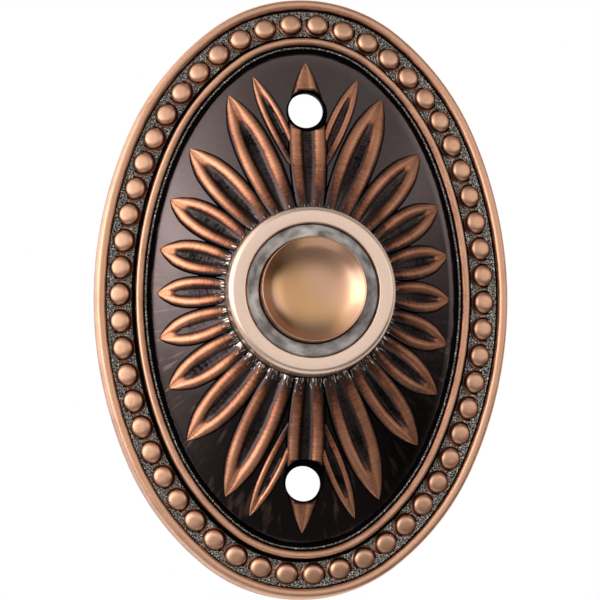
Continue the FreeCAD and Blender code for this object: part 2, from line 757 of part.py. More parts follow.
def rear_cover():
    """Cover that snaps into the body and carries the fixed contacts and terminals."""
    top = BODY_BOTTOM + SPIGOT_HEIGHT
    cover = disc(HOUSING_BODY_RADIUS, COVER_BOTTOM, BODY_BOTTOM)
    cover = cover.fuse(disc(COVER_SPIGOT_RADIUS, BODY_BOTTOM, top))
    pedestal_inner = STRIP_INNER_END + PEDESTAL_INSET
    pedestal_outer = STRIP_OUTER_END - STRIP_THICKNESS - SEAT_FIT
    pedestal_middle = (pedestal_inner + pedestal_outer) / 2
    slot_middle = STRIP_OUTER_END - STRIP_THICKNESS / 2
    for side in (-1, 1):
        pedestal = block(
            pedestal_outer - pedestal_inner,
            PEDESTAL_WIDTH,
            top,
            STRIP_TOP - STRIP_THICKNESS,
            x=side * pedestal_middle,
        )
        cover = cover.fuse([pedestal, lug(side, 0, LUG_RISE)])
        slot = block(
            STRIP_THICKNESS + 2 * PRESS_FIT,
            STRIP_WIDTH + 2 * PRESS_FIT,
            COVER_BOTTOM,
            top,
            x=side * slot_middle,
        )
        hole_top = CLAMP_BOTTOM + TERMINAL_SCREW_LENGTH + PRESS_FIT
        hole = disc(
            TERMINAL_SCREW_RADIUS + PRESS_FIT, COVER_BOTTOM, hole_top, x=side * TERMINAL_SPACING / 2
        )
        cover = cover.cut([slot, hole])
    return cover


def slotted_screw(shank_radius, shank_top, head_radius, head_height, seat, x, y):
    """Screw with a flat slotted head below its seat and its shank above it."""
    head = disc(head_radius, seat - head_height, seat, x, y)
    slot = block(2 * head_radius, SLOT_WIDTH, seat - head_height, seat - head_height + SLOT_DEPTH, x, y)
    return head.cut(slot).fuse(disc(shank_radius, seat, shank_top, x, y))


def terminal_screw(side):
    """Brass screw of one wire terminal."""
    return slotted_screw(
        TERMINAL_SCREW_RADIUS,
        CLAMP_BOTTOM + TERMINAL_SCREW_LENGTH,
        TERMINAL_HEAD_RADIUS,
        TERMINAL_HEAD_HEIGHT,
        CLAMP_BOTTOM,
        side * TERMINAL_SPACING / 2,
        0,
    )


def terminal_clamp(side):
    """Square plate that presses a wire against the terminal tab."""
    x = side * TERMINAL_SPACING / 2
    plate = block(CLAMP_SIZE, CLAMP_SIZE, CLAMP_BOTTOM, TERMINAL_SEAT, x=x)
    return plate.cut(disc(TERMINAL_SCREW_RADIUS + SEAT_FIT, CLAMP_BOTTOM, TERMINAL_SEAT, x=x))


def housing_screw(side):
    """Small screw through an ear of the housing into a boss of the plate."""
    return slotted_screw(
        EAR_SCREW_RADIUS - PRESS_FIT,
        EAR_TOP + EAR_SCREW_BITE,
        EAR_SCREW_HEAD_RADIUS,
        EAR_SCREW_HEAD_HEIGHT,
        EAR_BOTTOM,
        0,
        side * EAR_SCREW_SPACING / 2,
    )


def circuit_board():
    """Ring-shaped lamp board on the ledge of the barrel."""
    board = disc(BARREL_INNER_RADIUS - SEAT_FIT, BOARD_LEDGE, BOARD_TOP)
    holes = [disc(BOARD_HOLE_RADIUS, BOARD_LEDGE, BOARD_TOP)]
    for side in (-1, 1):
        x = side * PIN_SPACING / 2
        holes.append(disc(PIN_RADIUS + PRESS_FIT, BOARD_LEDGE, BOARD_TOP, x=x))
    return board.cut(holes)


def led(side):
    """Lamp chip with a small lens, under the lit ring."""
    x = side * LED_SPACING / 2
    chip = block(LED_WIDTH, LED_LENGTH, BOARD_TOP, BOARD_TOP + LED_HEIGHT, x=x)
    lens = disc(LED_LENS_RADIUS, BOARD_TOP, BOARD_TOP + LED_HEIGHT + LED_LENS_HEIGHT, x=x)
    return chip.fuse(lens)


def resistor():
    """Chip resistor in series with the lamps."""
    width, length, height = RESISTOR_SIZE
    return block(width, length, BOARD_TOP, BOARD_TOP + height, y=PART_OFFSET)


def diode():
    """Glass diode that protects the lamps from the bell's alternating current."""
    centre = BOARD_TOP + DIODE_RADIUS
    start = V(-DIODE_LENGTH / 2, -PART_OFFSET, centre)
    return Part.makeCylinder(DIODE_RADIUS, DIODE_LENGTH, start, V(1, 0, 0))


def board_pin(side):
    """Pin that joins the lamp board to a fixed contact."""
    return disc(PIN_RADIUS, STRIP_TOP, BOARD_TOP + PIN_STANDOUT, x=side * PIN_SPACING / 2)


def stand_up(shape):
    """Turn a piece from face up to upright, its face along -Y."""
    turned_shape = shape.copy()
    turned_shape.rotate(V(0, 0, 0), V(1, 0, 0), 90)
    return turned_shape


def main():
    """Write one STEP file for each piece."""
    pieces = {
        "faceplate": faceplate(),
        "bezel_ring": bezel_ring(),
        "light_ring": light_ring(),
        "button_cap": button_cap(),
        "plunger": plunger(),
        "plunger_clip": plunger_clip(),
        "return_spring": return_spring(),
        "contact_bridge": contact_bridge(),
        "switch_housing": switch_housing(),
        "rear_cover": rear_cover(),
        "circuit_board": circuit_board(),
        "resistor": resistor(),
        "diode": diode(),
    }
    for name, side in (("left", -1), ("right", 1)):
        pieces[f"fixed_contact_{name}"] = fixed_contact(side)
        pieces[f"terminal_screw_{name}"] = terminal_screw(side)
        pieces[f"terminal_clamp_{name}"] = terminal_clamp(side)
        pieces[f"board_pin_{name}"] = board_pin(side)
        pieces[f"led_{name}"] = led(side)
    for name, side in (("lower", -1), ("upper", 1)):
        pieces[f"housing_screw_{name}"] = housing_screw(side)
    os.makedirs("parts", exist_ok=True)
    for name, shape in pieces.items():
        stand_up(shape).exportStep(f"parts/{name}.step")


main()
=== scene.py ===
"""Looks of an oval doorbell push button in antique copper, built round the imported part.

Lengths in the classes are millimetres in the part's own frame: X is the width, Z runs up
the plate, and a height is measured from the wall towards the visitor, along -Y.
"""

import logging
import math
from collections.abc import Sequence
from dataclasses import dataclass
from enum import Enum

import bmesh
import bpy
import numpy as np
from bpy.types import GeometryNodeTree, Material, Mesh, Node, NodeSocket, NodeTree, Object
from mathutils import Matrix, Vector


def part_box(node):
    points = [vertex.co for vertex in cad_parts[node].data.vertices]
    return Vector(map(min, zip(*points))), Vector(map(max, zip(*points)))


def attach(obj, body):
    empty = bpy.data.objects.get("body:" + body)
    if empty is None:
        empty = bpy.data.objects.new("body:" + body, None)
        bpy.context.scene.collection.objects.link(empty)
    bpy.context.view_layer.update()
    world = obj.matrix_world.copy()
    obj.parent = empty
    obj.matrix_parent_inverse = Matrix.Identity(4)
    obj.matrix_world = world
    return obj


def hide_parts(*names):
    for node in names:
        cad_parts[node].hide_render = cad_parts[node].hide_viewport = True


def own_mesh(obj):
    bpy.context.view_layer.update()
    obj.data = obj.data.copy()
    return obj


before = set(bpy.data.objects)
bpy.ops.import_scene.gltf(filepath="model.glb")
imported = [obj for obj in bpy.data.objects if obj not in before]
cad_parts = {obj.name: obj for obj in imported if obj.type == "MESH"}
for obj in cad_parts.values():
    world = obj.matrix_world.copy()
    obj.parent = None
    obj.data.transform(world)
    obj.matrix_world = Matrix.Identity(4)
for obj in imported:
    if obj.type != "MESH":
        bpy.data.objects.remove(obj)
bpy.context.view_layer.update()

MM = 0.001
WELD = 1e-7
SHARP_ANGLE = math.radians(50)
LOG = logging.getLogger("push_button")

Curve = tuple[tuple[float, float], ...]
Values = dict[str | int, object]
Path = tuple[np.ndarray, np.ndarray, np.ndarray]


class Zone(Enum):
    """Which finish a face of the plate takes."""

    COPPER = 0
    GROUND = 1
    FIELD = 2
    BACK = 3


def linear(colour: str) -> tuple[float, float, float, float]:
    """Turn an sRGB hex colour into linear values.

    Args:
        colour: Six hex digits, such as "D9966F".

    Returns:
        Linear red, green, blue and an alpha of 1.
    """
    values = [int(colour[i : i + 2], 16) / 255 for i in (0, 2, 4)]
    bent = [v / 12.92 if v <= 0.04045 else ((v + 0.055) / 1.055) ** 2.4 for v in values]
    return (*bent, 1.0)


def add(
    tree: NodeTree,
    kind: str,
    sockets: Values | None = None,
    stops: Sequence[tuple[float, Sequence[float]]] = (),
    **settings: object,
) -> Node:
    """Add a node with its settings, values and links.

    Args:
        tree: The tree that gets the node.
        kind: Blender's name for the node's type.
        sockets: Input name or index to a value, to an output socket to link, or to a
            node, whose first output is linked.
        stops: Place and colour of each stop, where the node has a colour ramp.
        settings: The node's own properties.

    Returns:
        The new node.
    """
    node = tree.nodes.new(kind)
    for name, value in settings.items():
        setattr(node, name, value)
    for key, value in (sockets or {}).items():
        source = value.outputs[0] if isinstance(value, Node) else value
        if isinstance(source, NodeSocket):
            tree.links.new(source, node.inputs[key])
        else:
            node.inputs[key].default_value = source
    if stops:
        marks = node.color_ramp.elements
        for mark, (position, colour) in zip((marks[0], marks[1]), (stops[0], stops[-1])):
            mark.position = position
            mark.color = colour
        for position, colour in stops[1:-1]:
            marks.new(position).color = colour
    return node


def place(points: np.ndarray) -> np.ndarray:
    """Turn (x, up, height) in millimetres into the part's frame in metres."""
    return np.stack([points[..., 0], -points[..., 2], points[..., 1]], axis=-1) * MM


def heading(turn: np.ndarray) -> np.ndarray:
    """Unit vectors in the plate's plane at angles from its top, clockwise."""
    return np.stack([np.sin(turn), np.cos(turn)], axis=-1)


def raised(flat: np.ndarray, height: float | np.ndarray) -> np.ndarray:
    """Give points of the plate's plane a height."""
    return np.concatenate([flat, np.full((*flat.shape[:-1], 1), height)], axis=-1)


# Meshes


def quads(rows: int, columns: int) -> np.ndarray:
    """Corners of the faces of a grid of points that closes on itself both ways.

    Args:
        rows: Stations of the grid.
        columns: Points of each station.

    Returns:
        Four point numbers for each row and column.
    """
    near = np.arange(rows * columns).reshape(rows, columns)
    far = np.roll(near, -1, axis=0)
    return np.stack([near, far, np.roll(far, -1, axis=1), np.roll(near, -1, axis=1)], axis=-1)


def tidy_mesh(mesh: Mesh) -> None:
    """Merge doubled points, turn the faces outwards and smooth all but sharp edges.

    Args:
        mesh: A closed mesh.
    """
    work = bmesh.new()
    work.from_mesh(mesh)
    bmesh.ops.remove_doubles(work, verts=work.verts, dist=WELD)
    bmesh.ops.recalc_face_normals(work, faces=work.faces)
    work.to_mesh(mesh)
    work.free()
    mesh.shade_smooth()
    mesh.set_sharp_from_angle(angle=SHARP_ANGLE)
    mesh.update()


def link(name: str, mesh: Mesh) -> Object:
    """Put a mesh into the scene as an object at the origin.

    Args:
        name: The object's name.
        mesh: Its mesh.

    Returns:
        The object.
    """
    made = bpy.data.objects.new(name, mesh)
    bpy.context.scene.collection.objects.link(made)
    return made


def closed_sheet(
    name: str,
    grid: np.ndarray,
    zones: Sequence[int],
    relief: Sequence[float],
    materials: list[Material],
) -> Object:
    """Make a surface that closes on itself both ways, with its normals outwards.

    Args:
        name: The piece's name.
        grid: Points in metres, one row for each station and one column for each corner
            of the section.
        zones: The zone of the strip that follows each corner.
        relief: Relief at each corner, from 0 in a recess to 1 on a rubbed high.
        materials: One for each zone that is used.

    Returns:
        The new object.
    """
    rows, columns = grid.shape[:2]
    mesh = bpy.data.meshes.new(name)
    mesh.from_pydata(grid.reshape(-1, 3).tolist(), [], quads(rows, columns).reshape(-1, 4).tolist())
    marks = mesh.attributes.new("relief", "FLOAT", "POINT")
    marks.data.foreach_set("value", np.tile(relief, rows).astype(np.float32))
    mesh.polygons.foreach_set("material_index", np.tile(zones, rows).tolist())
    for material in materials:
        mesh.materials.append(material)
    tidy_mesh(mesh)
    return link(name, mesh)


def rounded(corners: Sequence[tuple[float, float, float]], steps: int = 6) -> np.ndarray:
    """Round the corners of a section.

    Args:
        corners: (place, height, length of the round along each side) for each corner.
        steps: Segments in each round.

    Returns:
        The points of the section.
    """
    made = []
    for index, (x, y, size) in enumerate(corners):
        corner = np.array([x, y])
        if size <= 0:
            made.append(corner)
            continue
        sides = []
        for other in (corners[index - 1], corners[(index + 1) % len(corners)]):
            run = np.array(other[:2]) - corner
            length = float(np.hypot(*run))
            sides.append(corner + run / length * min(size, length * 0.49))
        for step in range(steps + 1):
            t = step / steps
            made.append((1 - t) ** 2 * sides[0] + 2 * t * (1 - t) * corner + t * t * sides[1])
    return np.array(made)


def lathe(
    name: str,
    corners: Sequence[tuple[float, float, float]],
    material: Material,
    segments: int,
    centre: tuple[float, float] = (0.0, 0.0),
    steps: int = 6,
) -> Object:
    """Turn a closed section about the button's axis, or one parallel to it.

    Args:
        name: The piece's name.
        corners: (radius, height, round) for each corner.
        material: The piece's finish.
        segments: Steps round the axis.
        centre: Where the axis stands on the plate.
        steps: Segments in each rounded corner.

    Returns:
        The new object.
    """
    section = rounded(corners, steps)
    turns = np.arange(segments) * math.tau / segments
    flat = heading(turns)[:, None, :] * section[None, :, 0, None] + np.array(centre)
    grid = place(raised(flat, section[:, 1, None]))
    return closed_sheet(name, grid, [0] * len(section), [1.0] * len(section), [material])


def settle(piece: Object, body: str) -> Object:
    """Let a finished piece ride on its body.

    Args:
        piece: The finished piece.
        body: The body it moves with.

    Returns:
        The same piece.
    """
    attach(piece, body)
    LOG.info("%s rides on %s, %d faces", piece.name, body, len(piece.data.polygons))
    return piece


def bake(source: Object, name: str) -> Object:
    """Turn an object and its modifiers into a plain mesh object.

    Args:
        source: The object with its modifiers, which is removed.
        name: The name of the new object.

    Returns:
        The plain object.
    """
    graph = bpy.context.evaluated_depsgraph_get()
    mesh = bpy.data.meshes.new_from_object(
        source.evaluated_get(graph), preserve_all_data_layers=True, depsgraph=graph
    )
    bpy.data.objects.remove(source)
    mesh.name = name
    return link(name, mesh)


def new_tree(name: str, inputs: dict[str, str]) -> GeometryNodeTree:
    """Start a geometry tree with a finish, other named inputs and one geometry output.

    Args:
        name: The tree's name.
        inputs: Input name to kind of value.

    Returns:
        The tree, whose first node is its input node.
    """
    tree = bpy.data.node_groups.new(name, "GeometryNodeTree")
    for socket, kind in {"Geometry": "Geometry", **inputs, "Finish": "Material"}.items():
        tree.interface.new_socket(socket, in_out="INPUT", socket_type="NodeSocket" + kind)
    tree.interface.new_socket("Geometry", in_out="OUTPUT", socket_type="NodeSocketGeometry")
    add(tree, "NodeGroupInput")
    return tree


def end_tree(tree: GeometryNodeTree, geometry: Node) -> GeometryNodeTree:
    """Smooth, realize and paint what a tree has made, and put it out.

    Args:
        tree: The tree.
        geometry: The node that gives its last geometry.

    Returns:
        The same tree.
    """
    smooth = add(tree, "GeometryNodeSetShadeSmooth", {"Geometry": geometry})
    real = add(tree, "GeometryNodeRealizeInstances", {"Geometry": smooth})
    finish = tree.nodes[0].outputs["Finish"]
    painted = add(tree, "GeometryNodeSetMaterial", {"Geometry": real, "Material": finish})
    add(tree, "NodeGroupOutput", {0: painted})
    return tree


def grow(host: Object, tree: GeometryNodeTree, values: dict[str, object], name: str) -> Object:
    """Run a geometry tree on a host and keep what it makes as a plain mesh.

    Args:
        host: The object that carries the tree, which is used up.
        tree: The geometry tree.
        values: The tree's inputs by name.
        name: The name of the new object.

    Returns:
        The plain object.
    """
    modifier = host.modifiers.new(name, "NODES")
    modifier.node_group = tree
    for item in tree.interface.items_tree:
        if item.in_out == "INPUT" and item.name in values:
            modifier[item.identifier] = values[item.name]
    return bake(host, name)


# Finishes


def round_the_button(tree: NodeTree, place_of: NodeSocket) -> tuple[Node, Node, NodeSocket]:
    """Measure each place by its turn about the button and its reach from it.

    Args:
        tree: The material's tree.
        place_of: The place on the object.

    Returns:
        The place in the plate's plane, a vector of turn and reach, and the reach.
    """
    split = add(tree, "ShaderNodeSeparateXYZ", {0: place_of}).outputs
    turn = add(tree, "ShaderNodeMath", {0: split["X"], 1: split["Z"]}, operation="ARCTAN2")
    flat = add(tree, "ShaderNodeCombineXYZ", {"X": split["X"], "Y": split["Z"]})
    reach = add(tree, "ShaderNodeVectorMath", {0: flat}, operation="LENGTH").outputs["Value"]
    return flat, add(tree, "ShaderNodeCombineXYZ", {"X": turn, "Y": reach}), reach


@dataclass(frozen=True)
class Finish:
    """A finish that is laid out on the piece's own coordinates."""

    name: str

    def surface(self, tree: NodeTree, place_of: NodeSocket) -> Values:
        """Lay out the finish's pattern.

        Args:
            tree: The material's tree.
            place_of: The place on the object.

        Returns:
            The values and links of the shader's sockets.
        """
        raise NotImplementedError

    def build(self) -> Material:
        """Make the material.

        Returns:
            The material, with one shader.
        """
        material = bpy.data.materials.new(self.name)
        material.use_nodes = True
        tree = material.node_tree
        tree.nodes.clear()
        place_of = add(tree, "ShaderNodeTexCoord").outputs["Object"]
        shader = add(tree, "ShaderNodeBsdfPrincipled", self.surface(tree, place_of))
        add(tree, "ShaderNodeOutputMaterial", {"Surface": shader})
        return material


@dataclass(frozen=True)
class RelievedCopper(Finish):
    """Copper plating blackened in a sulphide bath and rubbed back on the high places.

    The eye sees matte pink-orange copper on every crest, brown on the slopes, dark grey
    in the hollows and a black line round each form, with fine marks of the rubbing. The
    marks are drawn coarser than real ones, so that they show.
    """

    copper: str = "E2AF90"
    warm: str = "B07A60"
    brown: str = "62453A"
    dark: str = "4A3F3E"
    black: str = "0B0808"
    # glint: the scratches' silver, set more often at the lower left as painted highlights
    glint: str = "CFC5BB"
    patch: float = 0.6
    patch_mm: float = 4.0
    grain: float = 0.3
    grain_mm: float = 0.3
    hatch: float = 0.4
    hatch_mm: float = 0.22
    hatches_per_turn: float = 9.0
    glints_per_turn: float = 55.0
    glints_per_mm: float = 1.3
    glint_bar: tuple[float, float] = (0.46, 0.85)
    root_mm: tuple[float, float] = (10.0, 13.5)
    rough_crest: float = 0.4
    rough_hollow: float = 0.3
    depth_mm: float = 0.02

    def rubbed(self, tree: NodeTree, place_of: NodeSocket, hatch: Node, grain: Node) -> Node:
        """Work out how far each place is rubbed, from its relief and the hand's unevenness.

        Args:
            tree: The material's tree.
            place_of: The place on the object.
            hatch: The marks of the rubbing.
            grain: The fine grain.

        Returns:
            The node that gives the level.
        """
        patch = add(
            tree,
            "ShaderNodeTexNoise",
            {"Vector": place_of, "Scale": 1 / (self.patch_mm * MM), "Detail": 4.0},
        )
        level = add(tree, "ShaderNodeAttribute", attribute_name="relief").outputs["Fac"]
        for noise, share in ((patch, self.patch), (hatch, self.hatch), (grain, self.grain)):
            level = add(tree, "ShaderNodeMath", {0: noise, 1: share, 2: level}, operation="MULTIPLY_ADD")
        middle = 0.5 * (self.patch + self.grain + self.hatch)
        return add(tree, "ShaderNodeMath", {0: level, 1: middle}, operation="SUBTRACT")

    def glints(self, tree: NodeTree, place_of: NodeSocket, streak: Node, reach: NodeSocket) -> Node:
        """Find the silver scratches that run out from the bezel at the petals' roots, picked more
        often towards the lower left as painted highlights.

        Args:
            tree: The material's tree.
            place_of: The place on the object.
            streak: Noise that runs outwards.
            reach: The distance from the button's axis.

        Returns:
            The node that gives 1 on a scratch, more of them towards the lower left, where they stand for
            painted highlights on the lit side.
        """
        first, last = (r * MM for r in self.root_mm)
        low, high = self.glint_bar
        bar = add(
            tree,
            "ShaderNodeMapRange",
            {"Value": reach, "From Min": first, "From Max": last, "To Min": low, "To Max": high},
        )
        # Painted light: the bar rises towards the upper right, so that scratches are picked more often at
        # the lower left, as painted highlights where the light falls
        upper_right = add(
            tree,
            "ShaderNodeVectorMath",
            {0: place_of, 1: (0.004 / MM, 0.0, 0.009 / MM)},
            operation="DOT_PRODUCT",
        ).outputs["Value"]
        away = add(
            tree, "ShaderNodeMapRange", {"Value": upper_right, "From Min": -0.12, "From Max": 0.12}
        )
        bar = add(tree, "ShaderNodeMath", {0: away, 1: 0.12, 2: bar}, operation="MULTIPLY_ADD")
        over = add(tree, "ShaderNodeMath", {0: streak, 1: bar}, operation="SUBTRACT")
        return add(tree, "ShaderNodeMapRange", {"Value": over, "From Min": 0.0, "From Max": 0.05})

    def surface(self, tree: NodeTree, place_of: NodeSocket) -> Values:
        """Lay out the rubbed tones, which read the piece's relief attribute.

        Args:
            tree: The material's tree.
            place_of: The place on the object.

        Returns:
            The values and links of the shader's sockets.
        """
        _, round_about, reach = round_the_button(tree, place_of)
        hatch_scale = (self.hatches_per_turn, 1 / (self.hatch_mm * MM), 1.0)
        glint_scale = (self.glints_per_turn, self.glints_per_mm / MM, 1.0)
        hatch, streak = (
            add(
                tree,
                "ShaderNodeTexNoise",
                {
                    "Vector": add(tree, "ShaderNodeMapping", {"Vector": round_about, "Scale": scale}),
                    "Scale": 1.0,
                    "Detail": detail,
                },
            )
            for scale, detail in ((hatch_scale, 4.0), (glint_scale, 6.0))
        )
        grain = add(
            tree,
            "ShaderNodeTexNoise",
            {"Vector": place_of, "Scale": 1 / (self.grain_mm * MM), "Detail": 6.0},
        )
        level = self.rubbed(tree, place_of, hatch, grain)
        share = add(tree, "ShaderNodeMapRange", {"Value": level, "From Min": -0.5, "From Max": 1.0})
        tones = (
            (0.16, self.black),
            (0.32, self.dark),
            (0.42, self.dark),
            (0.54, self.brown),
            (0.68, self.warm),
            (0.92, self.copper),
        )
        tone = add(tree, "ShaderNodeValToRGB", {"Fac": share}, [(at, linear(hue)) for at, hue in tones])
        glint = self.glints(tree, place_of, streak, reach)
        colour = add(tree, "ShaderNodeMix", {0: glint, 6: tone, 7: linear(self.glint)}, data_type="RGBA")
        rough = {"To Min": self.rough_hollow, "To Max": self.rough_crest}
        return {
            "Base Color": colour.outputs[2],
            "Metallic": 1.0,
            "Roughness": add(
                tree,
                "ShaderNodeMapRange",
                {"Value": level, "From Min": 0.1, "From Max": 0.6, **rough},
            ),
            "Normal": add(tree, "ShaderNodeBump", {"Height": grain, "Distance": self.depth_mm * MM}),
        }


@dataclass(frozen=True)
class BlackField(Finish):
    """Polished copper blackened to a deep purple-grey, under clear lacquer.

    The eye sees a dark mirror with faint brown streaks that run outwards. Its colour is painted
    lighter towards the top, a painted reflection of the bright space above, and darker towards
    the lower end, painted shade.
    """

    # upper and lower are painted light: the lighter top is a painted reflection of the bright space
    # above, the darker bottom is painted shade
    upper: str = "665A59"
    lower: str = "2E2726"
    streak: str = "6B554C"
    span_mm: tuple[float, float] = (-4.0, 22.0)
    cloud_mm: float = 5.0
    cloud_reach_mm: float = 20.0
    streaks_per_turn: float = 30.0
    streak_mm: float = 4.0
    streak_bar: tuple[float, float] = (0.56, 0.72)
    roughness: float = 0.26
    wave_mm: float = 0.8
    depth_mm: float = 0.01

    def surface(self, tree: NodeTree, place_of: NodeSocket) -> Values:
        """Lay out the bath's tones and the streaks.

        Args:
            tree: The material's tree.
            place_of: The place on the object.

        Returns:
            The values and links of the shader's sockets.
        """
        _, round_about, _ = round_the_button(tree, place_of)
        scale = (self.streaks_per_turn, 1 / (self.streak_mm * MM), 1.0)
        along = add(tree, "ShaderNodeMapping", {"Vector": round_about, "Scale": scale})
        cloud, streak, fine = (
            add(tree, "ShaderNodeTexNoise", {"Vector": where, "Scale": size, "Detail": detail})
            for where, size, detail in (
                (place_of, 1 / (self.cloud_mm * MM), 4.0),
                (along, 1.0, 4.0),
                (place_of, 1 / (self.wave_mm * MM), 2.0),
            )
        )
        # Painted light: the tone turns from lower to upper going up the plate, painted shade at the
        # bottom and a painted reflection at the top, with a cloudy edge
        height = add(tree, "ShaderNodeSeparateXYZ", {0: place_of}).outputs["Z"]
        uneven = add(
            tree,
            "ShaderNodeMath",
            {0: cloud, 1: self.cloud_reach_mm * MM, 2: height},
            operation="MULTIPLY_ADD",
        )
        low, high = (edge * MM for edge in self.span_mm)
        share = add(
            tree,
            "ShaderNodeMapRange",
            {"Value": uneven, "From Min": low, "From Max": high},
            interpolation_type="SMOOTHSTEP",
        )
        first, last = self.streak_bar
        streaked = add(tree, "ShaderNodeMapRange", {"Value": streak, "From Min": first, "From Max": last})
        colour = linear(self.lower)
        for mask, hue in ((share, self.upper), (streaked, self.streak)):
            colour = add(
                tree, "ShaderNodeMix", {0: mask, 6: colour, 7: linear(hue)}, data_type="RGBA"
            ).outputs[2]
        return {
            "Base Color": colour,
            "Metallic": 1.0,
            "Roughness": self.roughness,
            "Normal": add(tree, "ShaderNodeBump", {"Height": fine, "Distance": self.depth_mm * MM}),
        }


@dataclass(frozen=True)
class StippledGround(Finish):
    """Blackened ground struck with a fine punch.

    The eye sees a rough grey grain with silver glints where the punch's edges shine.
    """

    pale: str = "C9BFB4"
    black: str = "1A1614"
    glint: str = "EDE8E0"
    grain_mm: float = 0.16
    glint_mm: float = 0.3
    dot: tuple[float, float] = (0.32, 0.2)
    glint_from: float = 0.72
    roughness: float = 0.42
    depth_mm: float = 0.05

    def surface(self, tree: NodeTree, place_of: NodeSocket) -> Values:
        """Lay out the grain and the glints.

        Args:
            tree: The material's tree.
            place_of: The place on the object.

        Returns:
            The values and links of the shader's sockets.
        """
        grain = add(
            tree,
            "ShaderNodeTexNoise",
            {"Vector": place_of, "Scale": 1 / (self.grain_mm * MM), "Detail": 3.0},
        )
        tones = [(0.44, linear(self.black)), (0.66, linear(self.pale))]
        tone = add(tree, "ShaderNodeValToRGB", {"Fac": grain}, tones)
        cells = add(
            tree, "ShaderNodeTexVoronoi", {"Vector": place_of, "Scale": 1 / (self.glint_mm * MM)}
        ).outputs
        outer, inner = self.dot
        dot = add(
            tree,
            "ShaderNodeMapRange",
            {"Value": cells["Distance"], "From Min": outer, "From Max": inner},
        )
        pick = add(tree, "ShaderNodeSeparateXYZ", {0: cells["Color"]})
        few = add(tree, "ShaderNodeMath", {0: pick, 1: self.glint_from}, operation="GREATER_THAN")
        spark = add(tree, "ShaderNodeMath", {0: dot, 1: few}, operation="MULTIPLY")
        colour = add(tree, "ShaderNodeMix", {0: spark, 6: tone, 7: linear(self.glint)}, data_type="RGBA")
        return {
            "Base Color": colour.outputs[2],
            "Metallic": 1.0,
            "Roughness": self.roughness,
            "Normal": add(tree, "ShaderNodeBump", {"Height": grain, "Distance": self.depth_mm * MM}),
        }


@dataclass(frozen=True)
class GrainedMetal(Finish):
    """Plain metal with a fine even grain, as cast, rolled, brushed or plated."""

    colour: str
    roughness: float
    grain_mm: float = 0.3
    depth_mm: float = 0.004
    variation: float = 0.12

    def surface(self, tree: NodeTree, place_of: NodeSocket) -> Values:
        """Lay out the grain.

        Args:
            tree: The material's tree.
            place_of: The place on the object.

        Returns:
            The values and links of the shader's sockets.
        """
        grain = add(
            tree,
            "ShaderNodeTexNoise",
            {"Vector": place_of, "Scale": 1 / (self.grain_mm * MM), "Detail": 4.0},
        )
        base = linear(self.colour)
        darker = (*[c * (1 - 2 * self.variation) for c in base[:3]], 1.0)
        colour = add(tree, "ShaderNodeMix", {0: grain, 6: darker, 7: base}, data_type="RGBA")
        rough = {"To Min": self.roughness * 1.25, "To Max": self.roughness * 0.8}
        return {
            "Base Color": colour.outputs[2],
            "Metallic": 1.0,
            "Roughness": add(tree, "ShaderNodeMapRange", {"Value": grain, **rough}),
            "Normal": add(tree, "ShaderNodeBump", {"Height": grain, "Distance": self.depth_mm * MM}),
        }


@dataclass(frozen=True)
class Moulded(Finish):
    """Moulded plastic, glass or resin with the faint texture of its mould."""

    colour: str
    roughness: float = 0.45
    grain_mm: float = 0.25
    depth_mm: float = 0.006
    variation: float = 0.08
    cloud_mm: float = 2.5
    transmission: float = 0.0
    specular: float = 0.5

    def surface(self, tree: NodeTree, place_of: NodeSocket) -> Values:
        """Lay out the mould's grain and the colour's slow change.

        Args:
            tree: The material's tree.
            place_of: The place on the object.

        Returns:
            The values and links of the shader's sockets.
        """
        grain, cloud = (
            add(
                tree,
                "ShaderNodeTexNoise",
                {"Vector": place_of, "Scale": 1 / (size * MM), "Detail": detail},
            )
            for size, detail in ((self.grain_mm, 3.0), (self.cloud_mm, 2.0))
        )
        base = linear(self.colour)
        darker = (*[c * (1 - 3 * self.variation) for c in base[:3]], 1.0)
        colour = add(tree, "ShaderNodeMix", {0: cloud, 6: darker, 7: base}, data_type="RGBA")
        return {
            "Base Color": colour.outputs[2],
            "Roughness": self.roughness,
            "Transmission Weight": self.transmission,
            "Specular IOR Level": self.specular,
            "Normal": add(tree, "ShaderNodeBump", {"Height": grain, "Distance": self.depth_mm * MM}),
        }


@dataclass(frozen=True)
class FrostedRing(Finish):
    """Frosted clear acrylic over a dark lamp chamber, with drag marks from its mould.

    The eye sees a cloudy grey with soft pale marks that run round the ring.
    """

    dark: str = "6C6764"
    pale: str = "CCC8C4"
    roughness: float = 0.3
    marks_round: float = 3.2
    marks_per_mm: float = 0.9
    depth_mm: float = 0.12

    def surface(self, tree: NodeTree, place_of: NodeSocket) -> Values:
        """Lay out the marks round the ring.

        Args:
            tree: The material's tree.
            place_of: The place on the object.

        Returns:
            The values and links of the shader's sockets.
        """
        flat, _, reach = round_the_button(tree, place_of)
        way = add(tree, "ShaderNodeVectorMath", {0: flat}, operation="NORMALIZE")
        round_it = add(
            tree, "ShaderNodeVectorMath", {0: way, "Scale": self.marks_round}, operation="SCALE"
        )
        marks = add(
            tree,
            "ShaderNodeVectorMath",
            {
                0: add(tree, "ShaderNodeCombineXYZ", {"Z": reach}),
                1: (0.0, 0.0, self.marks_per_mm / MM),
                2: round_it,
            },
            operation="MULTIPLY_ADD",
        )
        streak = add(tree, "ShaderNodeTexNoise", {"Vector": marks, "Scale": 1.0, "Detail": 4.0})
        tones = [(0.36, linear(self.dark)), (0.68, linear(self.pale))]
        return {
            "Base Color": add(tree, "ShaderNodeValToRGB", {"Fac": streak}, tones),
            "Roughness": self.roughness,
            "Normal": add(tree, "ShaderNodeBump", {"Height": streak, "Distance": self.depth_mm * MM}),
        }


